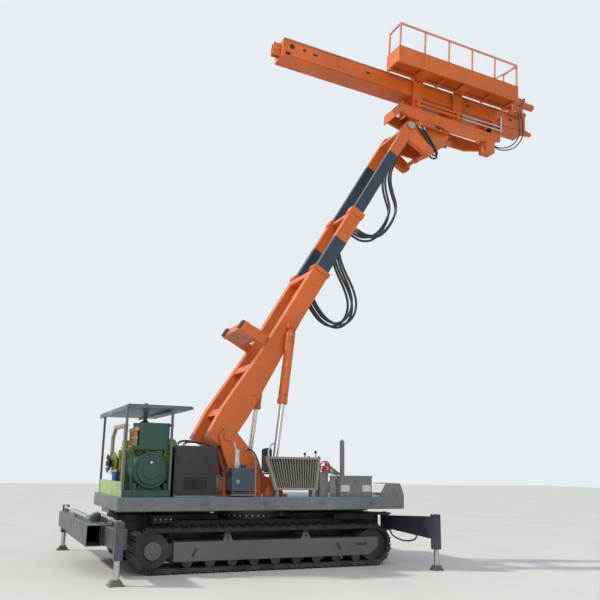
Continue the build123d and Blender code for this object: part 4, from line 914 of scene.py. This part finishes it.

# Work basket: plate-floored platform with a folded skirt, tube posts and rails of a paler
# orange and a brace at one end, ribs and bolts on the skirt, sockets at the posts
# A paler orange for the basket's posts, rails and brace.
pale_orange = enamel("pale_rail_orange", (0.66, 0.27, 0.17), rough=0.42, dust=0.15, grime=0.25)
on_mast = mast.inverted() @ ground
dressed("basket", orange_enamel, 0.002, pale_orange, lambda middle, normal: (on_mast @ middle).z > 1.482)
bm = bmesh.new()
socket = ((0.0255, 0), (0.036, 0), (0.036, 0.05), (0.0255, 0.06))
for index in range(6):
    x = -1.13 + index * 0.666
    turned(bm, mast, (x, -0.820, 1.155), up, socket, 20)
    slab(bm, mast, (x - 0.016, -0.853, 1.16), (x + 0.016, -0.8495, 1.478))
slab(bm, mast, (-1.16, -0.853, 1.462), (2.23, -0.838, 1.484))
slab(bm, mast, (-1.16, -0.854, 1.066), (2.23, -0.846, 1.160))
for x in (-0.80, -0.46, 0.20, 0.54, 0.87, 1.20, 1.87):
    heads(bm, mast, [(x, -0.850, 1.20)], nearwards, 0.022)
made("skirt_ribs", bm, orange_enamel, "cradle", 0.001)
bm = bmesh.new()
bar(bm, mast, (1.55, -0.82, 1.50), (2.18, -0.82, 2.02), 0.018, 12)
made("rail_brace", bm, pale_orange, "cradle")

# Mast: a long welded box beam whose rails the carriage has worn bare, with a chain wheel at one
# end, a feed motor at the other, splice plates with their bolts, and painted shade in black for its holes
# and slots
worn = surface("worn_rail", (0.34, 0.31, 0.29), 0.34, metal=0.85, low=0.6, scale=12)
dressed(
    "mast_beam", orange_enamel, 0.005, worn,
    lambda middle, normal: (on_mast @ middle).z > 1.106 and abs((on_mast @ middle).y) > 0.245,
)
bm = bmesh.new()
for sign in (-1, 1):
    for index in range(16):
        x = -3.35 + index * 0.40
        heads(bm, mast, [(x, sign * 0.255, 0.775)], (0, sign, 0), 0.020)
    for x in (-2.30, -0.90, 0.50, 1.90):
        slab(bm, mast, (x - 0.10, sign * 0.229, 0.84), (x + 0.10, sign * 0.236, 1.095))
        spots = [(x + step, sign * 0.236, z) for step in (-0.07, 0.07) for z in (0.87, 0.965, 1.06)]
        heads(bm, mast, spots, (0, sign, 0), 0.020)
for z in (0.80, 0.92, 1.04):
    heads(bm, mast, [(2.975, y, z) for y in (-0.19, 0.19)], (1, 0, 0), 0.024)
made("mast_fittings", bm, orange_enamel, "mast", 0.001)
# Black discs and thin slabs on the near face: painted shade for the mast's holes and slots.
bm = bmesh.new()
for x, radius in ((-3.52, 0.062), (-3.22, 0.038)):
    turned(bm, mast, (x, -0.2285, 0.975), nearwards, disc(radius, 0.0035), 28)
for x in (-2.95, -1.60, -0.20, 1.20, 2.50):
    slab(bm, mast, (x - 0.055, -0.2325, 0.925), (x + 0.055, -0.2295, 0.975))
slab(bm, mast, (-3.66, -0.262, 0.748), (-3.56, -0.229, 0.80))
made("mast_slot_shades", bm, black_and_shade, "mast")
bm = bmesh.new()
for y in (-0.076, 0.076):
    pin_cap(bm, mast, (-3.82, y, 0.92), (0, math.copysign(1, y), 0), 0.040)
turned(bm, mast, (3.00, -0.075, 0.86), nearwards, stud(0.020, 0.03, 0.012, 0.045), 12)
turned(bm, mast, (3.10, -0.075, 0.86), nearwards, stud(0.020, 0.03, 0.012, 0.045), 12)
made("mast_pins", bm, plated, "mast")

# Drill head: gearbox on a carriage with two motors on its back, ports, a breather and cap
# bolts, and the chuck in bare steel with its flats
dressed("drill_head", orange_enamel, 0.006)
dressed("chuck", ring_steel, 0.004)
bm = bmesh.new()
for sign in (-1, 1):
    spots = [(2.63 + step, sign * 0.210, z) for step in (0.0, 0.12, 0.24) for z in (1.24, 1.64)]
    heads(bm, mast, spots, (0, sign, 0), 0.026)
    spots = [(x, sign * 0.272, z) for x in (2.46, 2.62, 2.78) for z in (1.10, 1.165)]
    heads(bm, mast, spots, (0, sign, 0), 0.022)
angles = (0.4, 1.45, 2.5, 3.54, 4.6, 5.6)
spots = [(2.598, 0.15 * math.cos(angle), 1.48 + 0.15 * math.sin(angle)) for angle in angles]
heads(bm, mast, spots, (-1, 0, 0), 0.026)
turned(bm, mast, (2.599, 0, 1.48), (-1, 0, 0), ((0.0965, 0), (0.125, 0), (0.125, 0.012), (0.0965, 0.02)), 32)
made("gearbox_bolts", bm, orange_enamel, "drill_head")
bm = bmesh.new()
for y, z in ((-0.1, 1.58), (0.1, 1.42)):
    for x in (3.02, 3.13):
        turned(bm, mast, (x, y, z + 0.08), up, stud(0.020, 0.025, 0.013, 0.04), 12)
    bar(bm, mast, (3.02, y, z + 0.115), (3.02, y - 0.10 if y < 0 else y + 0.02, z + 0.06), 0.012, 10)
    turned(bm, mast, (2.965, y, z), (1, 0, 0), ((0.0855, 0), (0.098, 0), (0.098, 0.016), (0.0855, 0.02)), 28)
turned(bm, mast, (2.72, 0.06, 1.738), up, ((0, 0), (0.035, 0), (0.03, 0.02), (0, 0.022)), 16)
made("head_ports", bm, plated, "drill_head")

# Small hoses: thin black rubber hose on the head frame, from the cradle to the drill head, over
# the cabinet, behind the guard and under the front arms, with a swaged fitting at both ends
small_swage = ((0, 0), (0.020, 0), (0.020, 0.022), (0.016, 0.026), (0.016, 0.055), (0.013, 0.06), (0, 0.06))
small_hoses = (
    # name, body, radius, length, points in metres from the slewing axis
    ("head_hose_1", "head_frame", 0.022, 1.35, [
        (3.93, -0.31, 9.500), (3.95, -0.31, 9.44), (4.106, -0.31, 9.272), (4.239, -0.31, 9.071),
        (4.371, -0.32, 8.844), (4.25, -0.34, 8.75), (4.08, -0.35, 8.80), (4.03, -0.35, 8.93),
        (4.03, -0.34, 9.02), (4.03, -0.281, 9.03)]),
    ("head_hose_2", "head_frame", 0.022, 1.17, [
        (4.00, -0.34, 9.495), (4.02, -0.34, 9.43), (4.14, -0.34, 9.272), (4.27, -0.34, 9.071),
        (4.35, -0.36, 8.90), (4.26, -0.38, 8.81), (4.14, -0.39, 8.85), (4.11, -0.38, 8.95),
        (4.11, -0.36, 9.04), (4.11, -0.281, 9.05)]),
    ("head_hose_3", "head_frame", 0.022, 1.17, [
        (3.86, -0.35, 9.505), (3.88, -0.35, 9.44), (4.02, -0.36, 9.25), (4.15, -0.37, 9.06),
        (4.22, -0.39, 8.90), (4.14, -0.41, 8.84), (4.03, -0.42, 8.88), (3.95, -0.39, 8.97),
        (3.94, -0.35, 9.05), (3.94, -0.281, 9.07)]),
    ("drill_hose_1", "cradle", 0.014, 1.98, [
        (6.066, -0.18, 9.560), (6.15, -0.20, 9.500), (6.347, -0.26, 9.413), (6.693, -0.32, 9.534),
        (6.946, -0.34, 9.857), (6.97, -0.34, 10.237), (6.92, -0.33, 10.55), (6.92, -0.31, 10.67),
        (6.92, -0.211, 10.69)]),
    ("drill_hose_2", "cradle", 0.014, 1.78, [
        (6.062, -0.13, 9.620), (6.13, -0.15, 9.570), (6.34, -0.24, 9.480), (6.63, -0.31, 9.590),
        (6.85, -0.33, 9.880), (6.87, -0.33, 10.237), (6.84, -0.33, 10.50), (6.84, -0.30, 10.59),
        (6.84, -0.211, 10.61)]),
    ("drill_hose_3", "drill_head", 0.014, 0.59, [
        (7.20, -0.11, 10.98), (7.21, -0.15, 11.08), (7.19, -0.23, 11.06), (7.12, -0.262, 10.90),
        (7.02, -0.262, 10.78), (6.96, -0.255, 10.82), (6.95, -0.211, 10.84)]),
    ("cabinet_hose_1", "deck", 0.018, 1.3, [
        (-1.60, -0.76, 2.038), (-1.59, -0.76, 2.12), (-1.44, -0.75, 2.15), (-1.25, -0.74, 2.13),
        (-1.05, -0.72, 2.11), (-0.90, -0.70, 2.04), (-0.82, -0.68, 1.90), (-0.76, -0.66, 1.70),
        (-0.69, -0.64, 1.56)]),
    ("cabinet_hose_2", "deck", 0.018, 1.26, [
        (-1.50, -0.83, 2.038), (-1.49, -0.83, 2.11), (-1.36, -0.82, 2.13), (-1.18, -0.80, 2.11),
        (-1.00, -0.77, 2.08), (-0.88, -0.74, 1.98), (-0.80, -0.71, 1.80), (-0.75, -0.66, 1.60),
        (-0.69, -0.60, 1.48)]),
    ("guard_hose_1", "deck", 0.016, 1.07, [
        (-0.30, -0.680, 2.02), (-0.27, -0.78, 2.04), (-0.22, -0.92, 1.97), (-0.17, -1.02, 1.80),
        (-0.13, -1.07, 1.60), (-0.11, -1.07, 1.40), (-0.11, -1.06, 1.20)]),
    ("front_hose_near", "front_arm_near", 0.014, 0.93, [
        (2.658, -0.80, 0.603), (2.658, -0.80, 0.54), (2.67, -0.90, 0.46), (2.70, -1.10, 0.42),
        (2.72, -1.30, 0.41), (2.74, -1.50, 0.45), (2.745, -1.58, 0.50), (2.745, -1.58, 0.553)]),
    ("front_hose_far", "front_arm_far", 0.014, 0.92, [
        (2.658, 0.80, 0.603), (2.658, 0.80, 0.54), (2.67, 0.90, 0.47), (2.70, 1.10, 0.43),
        (2.72, 1.30, 0.42), (2.74, 1.50, 0.46), (2.745, 1.58, 0.50), (2.745, 1.58, 0.553)]),
)
for name, body, radius, length, points in small_hoses:
    size = radius / 0.013
    fitting = [(across * size, height) for across, height in small_swage]
    hose(name, ground, points, radius, body, fitting, 12, "ends")
